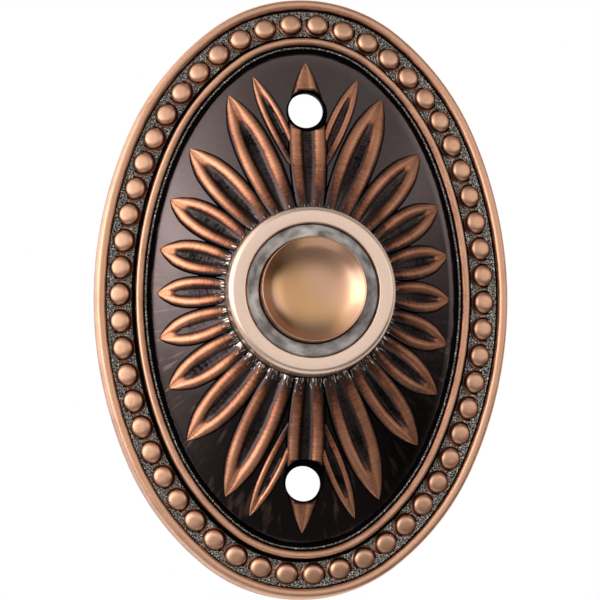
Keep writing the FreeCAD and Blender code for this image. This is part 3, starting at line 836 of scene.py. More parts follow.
@dataclass(frozen=True)
class PolishedDish(Finish):
    """Buffed copper plating on a moulded cap.

    The eye sees soft reflections in slow waves, and a tone that turns from gold to pink.
    """

    gold: str = "D3A376"
    pink: str = "D9AB90"
    roughness: float = 0.31
    wave_mm: float = 5.0
    depth_mm: float = 0.09

    def surface(self, tree: NodeTree, place_of: NodeSocket) -> Values:
        """Lay out the waves and the tone.

        Args:
            tree: The material's tree.
            place_of: The place on the object.

        Returns:
            The values and links of the shader's sockets.
        """
        wave = add(
            tree,
            "ShaderNodeTexNoise",
            {"Vector": place_of, "Scale": 1 / (self.wave_mm * MM), "Detail": 1.0},
        )
        tone = add(tree, "ShaderNodeMapRange", {"Value": wave, "From Min": 0.35, "From Max": 0.65})
        colour = add(
            tree,
            "ShaderNodeMix",
            {0: tone, 6: linear(self.gold), 7: linear(self.pink)},
            data_type="RGBA",
        )
        return {
            "Base Color": colour.outputs[2],
            "Metallic": 1.0,
            "Roughness": self.roughness,
            "Normal": add(tree, "ShaderNodeBump", {"Height": wave, "Distance": self.depth_mm * MM}),
        }


@dataclass(frozen=True)
class FloorPaint(Finish):
    """Matte white paint on the studio's floor, an even pale grey to the eye."""

    colour: str = "F4F3F1"
    roughness: float = 0.8

    def surface(self, tree: NodeTree, place_of: NodeSocket) -> Values:
        """Give the paint's colour and roughness, which have no pattern."""
        return {"Base Color": linear(self.colour), "Roughness": self.roughness}


# The plate


@dataclass
class Outline:
    """The plate's oval: tangent arcs, and curves parallel to it."""

    half_width: float = 24.65
    half_height: float = 35.7
    end_radius: float = 18.1
    end_heading: float = 38.0
    side_heading: float = 66.0

    def arcs(self) -> list[tuple[np.ndarray, float, float, float]]:
        """Work out the arcs, clockwise from the top.

        Returns:
            Centre, radius, first and last heading of each arc.
        """
        near, far = math.radians(self.end_heading), math.radians(self.side_heading)
        a, b = math.sin(far) - math.sin(near), 1 - math.sin(far)
        c, d = math.cos(far) - math.cos(near), -math.cos(far)
        right = self.half_width - self.end_radius * math.sin(near)
        below = self.end_radius * (1 - math.cos(near)) - self.half_height
        shoulder = (right * d - b * below) / (a * d - b * c)
        side = (a * below - right * c) / (a * d - b * c)
        end = np.array([0, self.half_height - self.end_radius])
        middle = end - heading(np.array(near)) * (shoulder - self.end_radius)
        flank = np.array([self.half_width - side, 0])
        flip = np.array([1, -1])
        half = [
            (end, self.end_radius, 0.0, near),
            (middle, shoulder, near, far),
            (flank, side, far, math.pi - far),
            (middle * flip, shoulder, math.pi - far, math.pi - near),
            (end * flip, self.end_radius, math.pi - near, math.pi),
        ]
        return half + [(-p, r, f + math.pi, t + math.pi) for p, r, f, t in half]

    def stations(self, count: int, inset: float) -> Path:
        """Space stations evenly along a parallel curve, from the top centre.

        Args:
            count: How many stations.
            inset: Distance of the curve inside the outline.

        Returns:
            Centre, radius and heading of each station's arc.
        """
        arcs = self.arcs()
        lengths = [(radius - inset) * (last - first) for _, radius, first, last in arcs]
        ends = np.cumsum(lengths)
        made = []
        for along in np.arange(count) * ends[-1] / count:
            index = int(np.searchsorted(ends, along, side="right"))
            centre, radius, first, _ = arcs[index]
            start = ends[index] - lengths[index]
            made.append((centre, radius, first + (along - start) / (radius - inset)))
        return tuple(np.array(column) for column in zip(*made))

    def parallel(self, path: Path, inset: float, height: float) -> np.ndarray:
        """Points at an inset from the outline and a height, one for each station.

        Args:
            path: Centre, radius and heading of each station.
            inset: Distance inside the outline.
            height: Height above the wall.

        Returns:
            The points.
        """
        centres, radii, turns = path
        return raised(centres + heading(turns) * (radii - inset)[:, None], height)


@dataclass
class Plate:
    """The die-cast plate: border, bead channel, ridge, domed field and hollow back."""

    outline: Outline
    rim_width: float = 1.1
    rim_height: float = 2.9
    channel_width: float = 3.45
    channel_floor: float = 1.9
    ditch_width: float = 0.26
    ditch_depth: float = 0.1
    ridge_width: float = 1.0
    ridge_height: float = 3.5
    ridge_shade: float = 0.75
    thread_height: float = 3.2
    thread_step: float = 0.35
    thread_span: tuple[float, float, float, float] = (0.16, 0.2, 0.42, 0.48)
    thread_wear: tuple[float, float] = (0.38, 0.3)
    groove_width: float = 0.95
    groove_floor: float = 2.6
    draft: float = 0.1
    black_level: float = -0.4
    wall: float = 1.3
    back_land: float = 1.7
    field_edge: float = 3.2
    field_lip: float = 0.25
    field_land: float = 0.8
    dome_top: float = 8.4
    bezel_radius: float = 10.0
    bore: float = 9.2
    hub_radius: float = 9.9
    hub_bottom: float = 2.8
    screw_reach: float = 22.225
    hole_radius: float = 2.1
    sink_radius: float = 2.75
    sink_depth: float = 1.4
    mouth_rise: float = 0.6
    pad_radius: float = 3.5
    pad_bottom: float = 3.6
    boss_reach: float = 13.6
    boss_radius: float = 2.4
    boss_bottom: float = 2.6
    pilot_radius: float = 1.1
    beads: int = 54
    bead_radius: float = 1.3
    bead_rise: float = 0.7
    bead_tilt: float = 13.0
    bead_sides: int = 28
    moat_radius: float = 1.46
    moat_depth: float = 0.3
    moat_lip: float = 0.06
    stations_per_bead: int = 8
    dome_rows: int = 14
    inner_rows: int = 5

    def dome_size(self, rise: float) -> tuple[float, float, float]:
        """Half width, half height and level of the dome.

        Args:
            rise: Place on the dome, from its foot at 0 to the bezel at 1.

        Returns:
            The half width, the half height and the level.
        """
        inset = (
            self.rim_width
            + self.channel_width
            + self.ridge_width
            + self.groove_width
            + self.field_lip
        )
        wide = self.outline.half_width - inset
        tall = self.outline.half_height - inset
        return (
            wide + (self.bezel_radius - wide) * rise,
            tall + (self.bezel_radius - tall) * rise,
            self.field_edge + (self.dome_top - self.field_edge) * rise,
        )

    def dome_height(self, x: float, up: float) -> float:
        """Height of the dome above a point of the plate, found by halving.

        Args:
            x: Place across the plate.
            up: Place up the plate.

        Returns:
            The height above the wall.
        """
        low, high = -0.3, 1.4
        for _ in range(30):
            rise = (low + high) / 2
            wide, tall, _ = self.dome_size(rise)
            inside = (x / wide) ** 2 + (up / tall) ** 2 < 1
            low, high = (rise, high) if inside else (low, rise)
        return self.dome_size(low)[2]

    def dome_ring(self, lean: np.ndarray, rise: float, inset: float, drop: float) -> np.ndarray:
        """One ring of points on the dome, or on its underside when inset and dropped.

        Args:
            lean: The ellipse's parameter at each station.
            rise: Place on the dome, from its foot at 0 to the bezel at 1.
            inset: How far the ring is drawn in.
            drop: How far it is lowered.

        Returns:
            The points.
        """
        wide, tall, height = self.dome_size(rise)
        flat = np.stack([(wide - inset) * np.sin(lean), (tall - inset) * np.cos(lean)], axis=-1)
        return raised(flat, height - drop)

    def worn(self, height: float, floor: float, top: float) -> float:
        """Relief of a height between a recess's floor and a crest, black at the foot."""
        return 1.5 * (height - floor) / (top - floor) - 0.5

    def edges(self) -> tuple[float, float, float, float]:
        """Insets at which the channel, the ridge, the groove and the field's lip begin."""
        ridge = self.rim_width + self.channel_width
        groove = ridge + self.ridge_width
        return self.rim_width, ridge, groove, groove + self.groove_width

    def border_section(self) -> np.ndarray:
        """Section of the border from the back's outer edge to the foot of the dome.

        Returns:
            Points as (inset, height).
        """
        channel, ridge, groove, lip = self.edges()
        ditch = ridge - self.ditch_width
        bottom = self.channel_floor - self.ditch_depth
        step = self.groove_floor + self.thread_step
        foot, left, right, end = (groove + place for place in self.thread_span)
        return rounded(
            [
                (0, 0, 0.08),
                (0, self.rim_height, 0.55),
                (channel, self.rim_height, 0.5),
                (channel + self.draft, self.channel_floor, 0.3),
                (ditch, self.channel_floor, 0),
                (ditch + 0.04, bottom, 0),
                (ridge + 0.05, bottom, 0.1),
                (ridge + 0.15, self.ridge_height, 0.36),
                (groove, self.ridge_height - 0.05, 0.4),
                (groove + self.draft, step, 0.08),
                (foot, step, 0.05),
                (left, self.thread_height, 0.07),
                (right, self.thread_height, 0.07),
                (end, self.groove_floor, 0.1),
                (lip - 0.02, self.groove_floor, 0.1),
                (lip, self.field_edge, 0.1),
            ]
        )

    def border_dress(self, inset: float, height: float) -> tuple[int, float]:
        """Zone and relief at a point of the border's section.

        Args:
            inset: The point's distance inside the outline.
            height: Its height above the wall.

        Returns:
            The zone's number and the relief.
        """
        channel, ridge, groove, _ = self.edges()
        relief = self.black_level
        if inset < channel / 2:
            relief = 0.5 + 0.4 * height / self.rim_height
        elif inset < (channel + ridge) / 2:
            relief = self.worn(height, self.channel_floor, self.rim_height)
        elif inset < groove + 0.08:
            shade = max(0.0, (inset - ridge) / self.ridge_width - 0.3)
            relief = self.worn(height, self.channel_floor, self.ridge_height)
            relief -= self.ridge_shade * shade
        elif inset < groove + self.thread_wear[0]:
            relief = self.worn(height, self.groove_floor + self.thread_wear[1], self.thread_height)
        on_floor = channel < inset < ridge - self.ditch_width - 0.01
        on_floor = on_floor and height < self.channel_floor + 0.05
        on_thread = groove + 0.15 < inset < groove + 0.5 and height > self.groove_floor + 0.36
        zone = Zone.GROUND if on_floor or on_thread else Zone.COPPER
        return zone.value, relief

    def back_rings(self, path: Path, lean: np.ndarray) -> list[np.ndarray]:
        """Rings of the bore, the hub, the dome's underside and the border's hollow back.

        Args:
            path: Centre, radius and heading of each station.
            lean: The ellipse's parameter at each station.

        Returns:
            The rings, from the bezel's seat round to the back's outer land.
        """
        hub = (
            (self.bore, self.dome_top),
            (self.bore, self.hub_bottom),
            (self.hub_radius, self.hub_bottom),
            (self.hub_radius, self.dome_top - self.wall),
        )
        rings = [raised(heading(lean) * radius, height) for radius, height in hub]
        for row in range(self.inner_rows - 1, -1, -1):
            rings.append(self.dome_ring(lean, row / self.inner_rows, self.field_land, self.wall))
        _, ridge, _, lip = self.edges()
        hollow = (
            (lip, self.field_edge - self.wall),
            (lip, self.groove_floor - self.wall),
            (ridge, self.groove_floor - self.wall),
            (ridge, self.channel_floor - self.wall),
            (self.back_land, self.channel_floor - self.wall),
            (self.back_land, 0.0),
        )
        return rings + [self.outline.parallel(path, inset, height) for inset, height in hollow]

    def shell(self, materials: dict[Zone, Material], hole_material: Material) -> Object:
        """Build the plate's skin, front and back, with its screw holes.

        Args:
            materials: The finish of each zone.
            hole_material: The finish of the screw holes' walls.

        Returns:
            The finished piece.
        """
        middle = self.rim_width + self.channel_width / 2
        path = self.outline.stations(self.beads * self.stations_per_bead, middle)
        wide, tall, _ = self.dome_size(0)
        foot = self.outline.parallel(path, middle, 0)
        lean = np.arctan2(foot[:, 0] / wide, foot[:, 1] / tall)
        strips = [
            (self.outline.parallel(path, *point), *self.border_dress(*point))
            for point in self.border_section()
        ]
        for row in range(self.dome_rows + 1):
            ring = self.dome_ring(lean, row / self.dome_rows, 0, 0)
            strips.append((ring, Zone.FIELD.value, 0.0))
        strips += [(ring, Zone.BACK.value, 0.0) for ring in self.back_rings(path, lean)]
        rings, zones, relief = zip(*strips)
        order = [materials[zone] for zone in Zone]
        skin = closed_sheet("plate_shell", place(np.stack(rings, axis=1)), zones, relief, order)
        return self.drilled(skin, hole_material)

    def drilled(self, piece: Object, material: Material) -> Object:
        """Cut both countersunk screw holes through a piece.

        Args:
            piece: A closed mesh, which is used up.
            material: The finish of the holes' walls.

        Returns:
            The piece with its holes.
        """
        mouth = self.dome_height(0, self.screw_reach) + self.mouth_rise
        name = piece.name
        section = [
            (0, -1.0, 0),
            (self.hole_radius, -1.0, 0),
            (self.hole_radius, mouth - self.sink_depth, 0),
            (self.sink_radius, mouth, 0),
            (self.sink_radius, mouth + 3, 0),
            (0, mouth + 3, 0),
        ]
        for side in (-1, 1):
            centre = (0.0, side * self.screw_reach)
            cutter = lathe(f"cutter_{side}", section, material, segments=72, centre=centre)
            modifier = piece.modifiers.new("hole", "BOOLEAN")
            modifier.object = cutter
            modifier.operation = "DIFFERENCE"
            modifier.solver = "MANIFOLD"
            modifier.material_mode = "TRANSFER"
            piece = bake(piece, name + "_cut")
            bpy.data.objects.remove(cutter)
        piece.name = name
        piece.data.shade_smooth()
        piece.data.set_sharp_from_angle(angle=SHARP_ANGLE)
        return piece

    def bosses(self, material: Material) -> list[Object]:
        """Build the posts and pads behind the dome that the screws go into.

        Args:
            material: Their finish.

        Returns:
            A post and a pad at the lower end, then at the upper end.
        """
        post_top = self.dome_height(0, self.boss_reach) - self.wall / 2
        pad_top = self.dome_height(0, self.screw_reach + self.pad_radius) - 0.1
        posts = (self.pilot_radius, self.boss_radius, self.boss_bottom, post_top, 0)
        pads = (self.hole_radius, self.pad_radius, self.pad_bottom, pad_top, 0.1)
        made = []
        for end, side in (("lower", -1), ("upper", 1)):
            for kind, size, reach, segments in (
                ("boss", posts, self.boss_reach, 48),
                ("pad", pads, self.screw_reach, 64),
            ):
                inner, outer, bottom, top, mouth_round = size
                section = [
                    (inner, bottom, mouth_round),
                    (outer, bottom, 0.2),
                    (outer, top, 0),
                    (inner, top, 0),
                ]
                name = f"plate_{kind}_{end}"
                made.append(lathe(name, section, material, segments, (0.0, side * reach)))
        return made

    def bead_places(self) -> Object:
        """Mark each bead's place in the channel, with its lean away from the centre.

        Returns:
            An object of loose points with a lean attribute.
        """
        middle = self.rim_width + self.channel_width / 2
        path = self.outline.stations(2 * self.beads, middle)
        spots = self.outline.parallel(path, middle, self.channel_floor)[1::2]
        mesh = bpy.data.meshes.new("bead_places")
        mesh.from_pydata(place(spots).tolist(), [], [])
        tilt = math.radians(self.bead_tilt)
        away = heading(path[2])[1::2] * math.sin(tilt)
        leans = [Vector((x, -math.cos(tilt), up)).to_track_quat("Z", "Y").to_euler() for x, up in away]
        attribute = mesh.attributes.new("lean", "FLOAT_VECTOR", "POINT")
        attribute.data.foreach_set("vector", np.array(leans, dtype=np.float32).ravel())
        return link("bead_places", mesh)

    def bead_shape(self, tree: GeometryNodeTree, known: dict[str, object]) -> Node:
        """Make one bead with a flat crown, the moat round it and the moat's lip.

        Args:
            tree: The beads' tree.
            known: The tree's named numbers.

        Returns:
            The node that joins the three.
        """
        ball = add(
            tree,
            "GeometryNodeMeshUVSphere",
            {"Segments": self.bead_sides, "Rings": 16, "Radius": 1.0},
        )
        flattened = add(
            tree, "ShaderNodeCombineXYZ", {"X": known["x"], "Y": known["y"], "Z": known["crown"]}
        )
        crowned = add(tree, "GeometryNodeSetPosition", {"Geometry": ball, "Position": flattened})
        wide = known["bead_radius"]
        size = add(tree, "ShaderNodeCombineXYZ", {"X": wide, "Y": wide, "Z": known["bead_rise"]})
        both = add(
            tree,
            "GeometryNodeJoinGeometry",
            {0: add(tree, "GeometryNodeTransform", {"Geometry": crowned, "Scale": size})},
        )
        lip_depth = self.moat_depth - 0.02
        for radius, depth in ((known["moat_radius"], self.moat_depth), (known["lip"], lip_depth)):
            disc = add(
                tree,
                "GeometryNodeMeshCylinder",
                {"Vertices": self.bead_sides, "Radius": radius, "Depth": depth * MM},
            )
            tree.links.new(disc.outputs["Mesh"], both.inputs[0])
        return both

    def bead_tree(self) -> GeometryNodeTree:
        """Build the tree that sets a bead on each point, and marks its wear.

        Returns:
            The tree.
        """
        lengths = ("Bead Radius", "Bead Rise", "Moat Radius")
        tree = new_tree("bead_row", {name: "Float" for name in lengths})
        source = tree.nodes[0].outputs
        where = add(tree, "GeometryNodeInputPosition")
        split = add(tree, "ShaderNodeSeparateXYZ", {0: where}).outputs
        known = {name.lower().replace(" ", "_"): source[name] for name in lengths}
        known.update(x=split["X"], y=split["Y"], z=split["Z"])
        length = add(tree, "ShaderNodeVectorMath", {0: where}, operation="LENGTH")
        known["out"] = length.outputs["Value"]
        for name, operation, *terms in (
            ("squared", "MULTIPLY", "z", "z"),
            ("left", "SUBTRACT", 2.0, "squared"),
            ("fuller", "SQRT", "left"),
            ("crown", "MULTIPLY", "fuller", "z"),
            ("lip", "ADD", "moat_radius", self.moat_lip * MM),
            ("lip_middle", "ADD", "moat_radius", self.moat_lip / 2 * MM),
            ("share", "DIVIDE", "z", "bead_rise"),
            ("beyond", "GREATER_THAN", "out", "lip_middle"),
            ("worn", "MULTIPLY_ADD", "share", 3.2, -0.45),
            ("capped", "MINIMUM", "worn", 0.95),
            ("relief", "MULTIPLY_ADD", "beyond", 1.5, "capped"),
        ):
            sockets = {index: known.get(term, term) for index, term in enumerate(terms)}
            known[name] = add(tree, "ShaderNodeMath", sockets, operation=operation)
        marked = add(
            tree,
            "GeometryNodeStoreNamedAttribute",
            {"Geometry": self.bead_shape(tree, known), "Name": "relief", "Value": known["relief"]},
            data_type="FLOAT",
            domain="POINT",
        )
        lean = add(tree, "GeometryNodeInputNamedAttribute", {"Name": "lean"}, data_type="FLOAT_VECTOR")
        stood = add(
            tree,
            "GeometryNodeInstanceOnPoints",
            {"Points": source["Geometry"], "Instance": marked, "Rotation": lean},
        )
        return end_tree(tree, stood)

    def bead_row(self, material: Material) -> Object:
        """Set the beads along the channel.

        Args:
            material: The beads' finish.

        Returns:
            All the beads as one plain mesh.
        """
        values = {
            "Bead Radius": self.bead_radius * MM,
            "Bead Rise": self.bead_rise * MM,
            "Moat Radius": self.moat_radius * MM,
            "Finish": material,
        }
        return grow(self.bead_places(), self.bead_tree(), values, "plate_beads")


@dataclass
class Flower:
    """The petals and small leaves that lie on the dome.

    The curves run from a petal's root at 0 to its tip at 1. Spread is the share of its
    width, groove the half width of the groove between its ribs, groove_floor the height
    of that groove's floor, swell the height of the ribs and wear how far they are rubbed.
    """

    plate: Plate
    tip_angles: tuple[float, ...] = (0.0, 17.2, 35.0, 51.6, 69.0)
    root_step: float = 18.0
    root_gap: float = 0.15
    margin_wide: float = 0.4
    margin_tall: float = 0.95
    short_width: float = 3.9
    long_width: float = 4.8
    rise: float = 0.62
    sink: float = 0.35
    leaf_angle: float = 76.5
    leaf_length: float = 11.5
    leaf_width: float = 2.6
    leaf_lean: float = 11.0
    spread: Curve = (
        (0.0, 0.72),
        (0.2, 0.92),
        (0.45, 1.0),
        (0.68, 0.88),
        (0.86, 0.55),
        (0.95, 0.27),
        (1.0, 0.02),
    )
    groove: Curve = ((0.0, 0.1), (0.15, 0.16), (0.45, 0.25), (0.66, 0.19), (0.84, 0.01), (1.0, 0.0))
    groove_floor: Curve = ((0.0, 0.1), (0.45, 0.04), (0.68, 0.1), (0.84, 0.8), (1.0, 0.9))
    swell: Curve = ((0.0, 0.5), (0.25, 0.85), (0.6, 1.0), (0.85, 0.75), (1.0, 0.2))
    wear: Curve = ((0.0, 0.25), (0.12, 0.4), (0.35, 0.72), (0.6, 0.85), (1.0, 0.88))

    def tip(self, turn: float) -> np.ndarray:
        """Where a petal's tip lies at a heading.

        Args:
            turn: The heading from the plate's top.

        Returns:
            The tip in the plate's plane.
        """
        wide, tall, _ = self.plate.dome_size(0)
        reach = math.hypot(
            math.sin(turn) / (wide - self.margin_wide), math.cos(turn) / (tall - self.margin_tall)
        )
        return heading(np.array(turn)) / reach

    def layout(self) -> list[tuple[np.ndarray, np.ndarray, float]]:
        """List the petals.

        Returns:
            Root, tip and width of each petal, in the plate's plane.
        """
        reach = self.plate.bezel_radius + self.root_gap
        steps = len(self.tip_angles) - 1
        quarters = [(1, 1), (1, -1), (-1, 1), (-1, -1)]
        made = []
        for index, angle in enumerate(self.tip_angles):
            width = self.short_width + (self.long_width - self.short_width) * index / steps
            root = heading(np.array(math.radians(90 - self.root_step * index))) * reach
            for flip in np.array(quarters[::2] if index == 0 else quarters):
                made.append((root * flip, self.tip(math.radians(90 - angle)) * flip, width))
        for turn in (0.0, math.pi):
            made.append((heading(np.array(turn)) * reach, self.tip(turn), self.long_width))
        turn = math.radians(90 - self.leaf_angle)
        tip = self.tip(turn)
        root = tip - heading(np.array(turn + math.radians(self.leaf_lean))) * self.leaf_length
        return made + [(root * flip, tip * flip, self.leaf_width) for flip in np.array(quarters)]

    def dome_target(self) -> Object:
        """Build a fine sheet of the dome's surface for the petals to be laid on.

        Returns:
            The sheet, which is removed once the petals lie on it.
        """
        lean = np.arange(360) * math.tau / 360
        rings = [self.plate.dome_ring(lean, rise, 0, 0) for rise in np.linspace(-0.15, 1.1, 12)]
        grid = place(np.stack(rings, axis=1))
        faces = quads(*grid.shape[:2])[:, :-1]
        mesh = bpy.data.meshes.new("dome_target")
        mesh.from_pydata(grid.reshape(-1, 3).tolist(), [], faces.reshape(-1, 4).tolist())
        return link("dome_target", mesh)

    def rules(self) -> tuple[tuple[object, ...], ...]:
        """Rules of a petal's section, each a name, an operation and its terms.

        Returns:
            The rules, in order.
        """
        return (
            ("half_width", "MULTIPLY", "width", 0.5),
            ("half", "MULTIPLY", "half_width", "spread"),
            ("sideways", "MULTIPLY", "half", "across"),
            ("reach", "ABSOLUTE", "across"),
            ("rib_middle", "MULTIPLY_ADD", "groove", 0.5, 0.5),
            ("rib_half", "MULTIPLY_ADD", "groove", -0.5, 0.5),
            ("from_middle", "SUBTRACT", "reach", "rib_middle"),
            ("offset", "DIVIDE", "from_middle", "rib_half"),
            ("squared", "MULTIPLY", "offset", "offset"),
            ("below_crest", "SUBTRACT", 1.0, "squared"),
            ("open_part", "MAXIMUM", "below_crest", 0.0),
            ("rib", "POWER", "open_part", 0.6),
            ("steep", "POWER", "reach", 6.0),
            ("edge", "SUBTRACT", 1.0, "steep"),
            ("floor", "MULTIPLY", "groove_floor", "edge"),
            ("profile", "SMOOTH_MAX", "rib", "floor", 0.12),
            ("swollen", "MULTIPLY", "rise", "swell"),
            ("full_lift", "MULTIPLY", "swollen", "profile"),
            ("broad", "MULTIPLY_ADD", "width", 0.5 / (self.long_width * MM), 0.5),
            ("lift", "MULTIPLY", "full_lift", "broad"),
            ("is_top", "GREATER_THAN", "layer", 0.0),
            ("is_base", "SUBTRACT", 1.0, "is_top"),
            ("up", "MULTIPLY", "lift", "is_top"),
            ("down", "MULTIPLY", "sink", "is_base"),
            ("level", "SUBTRACT", "down", "up"),
            ("filled", "POWER", "profile", 1.05),
            ("rubbed", "MULTIPLY_ADD", "filled", 1.2, -0.2),
            ("worn", "MULTIPLY", "rubbed", "wear"),
            ("outline", "POWER", "reach", 9.0),
            ("relief", "MULTIPLY_ADD", "outline", -0.8, "worn"),
        )

    def numbers(self, tree: GeometryNodeTree, own: dict[str, Node]) -> dict[str, object]:
        """Work out each point's numbers from its place in the petal.

        Args:
            tree: The petals' tree.
            own: The named attributes of each point.

        Returns:
            The numbers by name.
        """
        source = tree.nodes[0].outputs
        split = add(tree, "ShaderNodeSeparateXYZ", {0: own["along_across"]}).outputs
        known = {"width": own["width"], "rise": source["Rise"], "sink": source["Sink"]}
        known["along"] = add(tree, "ShaderNodeMath", {0: split["X"], 1: 0.5}, operation="ADD")
        known.update(across=split["Y"], layer=split["Z"])
        for name in ("spread", "groove", "groove_floor", "swell", "wear"):
            points = getattr(self, name)
            node = add(tree, "ShaderNodeFloatCurve", {"Value": known["along"]})
            curve = node.mapping.curves[0]
            while len(curve.points) < len(points):
                curve.points.new(0.5, 0.5)
            for point, spot in zip(curve.points, points):
                point.location = spot
            node.mapping.update()
            known[name] = node
        for name, operation, *terms in self.rules():
            sockets = {index: known.get(term, term) for index, term in enumerate(terms)}
            known[name] = add(tree, "ShaderNodeMath", sockets, operation=operation)
        return known

    def laid(self, tree: GeometryNodeTree, own: dict[str, Node], known: dict[str, object]) -> Node:
        """Find each point's place on the dome.

        Args:
            tree: The petals' tree.
            own: The named attributes of each point.
            known: The numbers of each point.

        Returns:
            The node that gives the place.
        """
        axis = add(tree, "ShaderNodeVectorMath", {0: own["tip"], 1: own["root"]}, operation="SUBTRACT")
        side = add(tree, "ShaderNodeVectorMath", {0: axis, 1: (0, 1, 0)}, operation="CROSS_PRODUCT")
        side = add(tree, "ShaderNodeVectorMath", {0: side}, operation="NORMALIZE")
        spot = own["root"]
        for way, share in ((axis, "along"), (side, "sideways")):
            step = add(tree, "ShaderNodeVectorMath", {0: way, "Scale": known[share]}, operation="SCALE")
            spot = add(tree, "ShaderNodeVectorMath", {0: spot, 1: step}, operation="ADD")
        above = add(tree, "ShaderNodeVectorMath", {0: spot, 1: (0, -0.05, 0)}, operation="ADD")
        dome = add(tree, "GeometryNodeObjectInfo", {"Object": tree.nodes[0].outputs["Dome"]})
        hit = add(
            tree,
            "GeometryNodeRaycast",
            {
                "Target Geometry": dome.outputs["Geometry"],
                "Source Position": above,
                "Ray Direction": (0, 1, 0),
                "Ray Length": 0.2,
            },
        ).outputs["Hit Position"]
        shift = add(tree, "ShaderNodeCombineXYZ", {"Y": known["level"]})
        return add(tree, "ShaderNodeVectorMath", {0: hit, 1: shift}, operation="ADD")

    def tree(self) -> GeometryNodeTree:
        """Build the geometry tree that lays one grooved petal on each point.

        Returns:
            The tree.
        """
        tree = new_tree("petal_flower", {"Dome": "Object", "Rise": "Float", "Sink": "Float"})
        points = tree.nodes[0].outputs["Geometry"]
        grid = {"Vertices X": 35, "Vertices Y": 23, "Vertices Z": 2}
        block = add(tree, "GeometryNodeMeshCube", {"Size": (1.0, 2.0, 1.0), **grid})
        where = add(tree, "GeometryNodeInputPosition")
        noted = add(
            tree,
            "GeometryNodeStoreNamedAttribute",
            {"Geometry": block, "Name": "along_across", "Value": where},
            data_type="FLOAT_VECTOR",
            domain="POINT",
        )
        stood = add(tree, "GeometryNodeInstanceOnPoints", {"Points": points, "Instance": noted})
        real = add(tree, "GeometryNodeRealizeInstances", {"Geometry": stood})
        kinds = {name: "FLOAT_VECTOR" for name in ("along_across", "root", "tip")}
        kinds["width"] = "FLOAT"
        own = {
            name: add(tree, "GeometryNodeInputNamedAttribute", {"Name": name}, data_type=kind)
            for name, kind in kinds.items()
        }
        known = self.numbers(tree, own)
        spot = self.laid(tree, own, known)
        marked = add(
            tree,
            "GeometryNodeStoreNamedAttribute",
            {"Geometry": real, "Name": "relief", "Value": known["relief"]},
            data_type="FLOAT",
            domain="POINT",
        )
        made = add(tree, "GeometryNodeSetPosition", {"Geometry": marked, "Position": spot})
        for name in kinds:
            made = add(tree, "GeometryNodeRemoveAttribute", {"Geometry": made, "Name": name})
        return end_tree(tree, made)

    def build(self, material: Material, hole_material: Material) -> Object:
        """Lay the petals on the dome.

        Args:
            material: The petals' finish.
            hole_material: The finish of the screw holes' walls.

        Returns:
            All the petals as one plain mesh.
        """
        petals = self.layout()
        mesh = bpy.data.meshes.new("petal_places")
        mesh.from_pydata([(0, 0, 0)] * len(petals), [], [])
        for name, column in (("root", 0), ("tip", 1)):
            spots = place(raised(np.array([petal[column] for petal in petals]), 0.0))
            attribute = mesh.attributes.new(name, "FLOAT_VECTOR", "POINT")
            attribute.data.foreach_set("vector", spots.astype(np.float32).ravel())
        width = mesh.attributes.new("width", "FLOAT", "POINT")
        width.data.foreach_set("value", [petal[2] * MM for petal in petals])
        host = link("petal_places", mesh)
        target = self.dome_target()
        values = {"Dome": target, "Rise": self.rise * MM, "Sink": self.sink * MM, "Finish": material}
        made = grow(host, self.tree(), values, "plate_petals")
        bpy.data.objects.remove(target)
        tidy_mesh(made.data)
        return self.plate.drilled(made, hole_material)


# The button


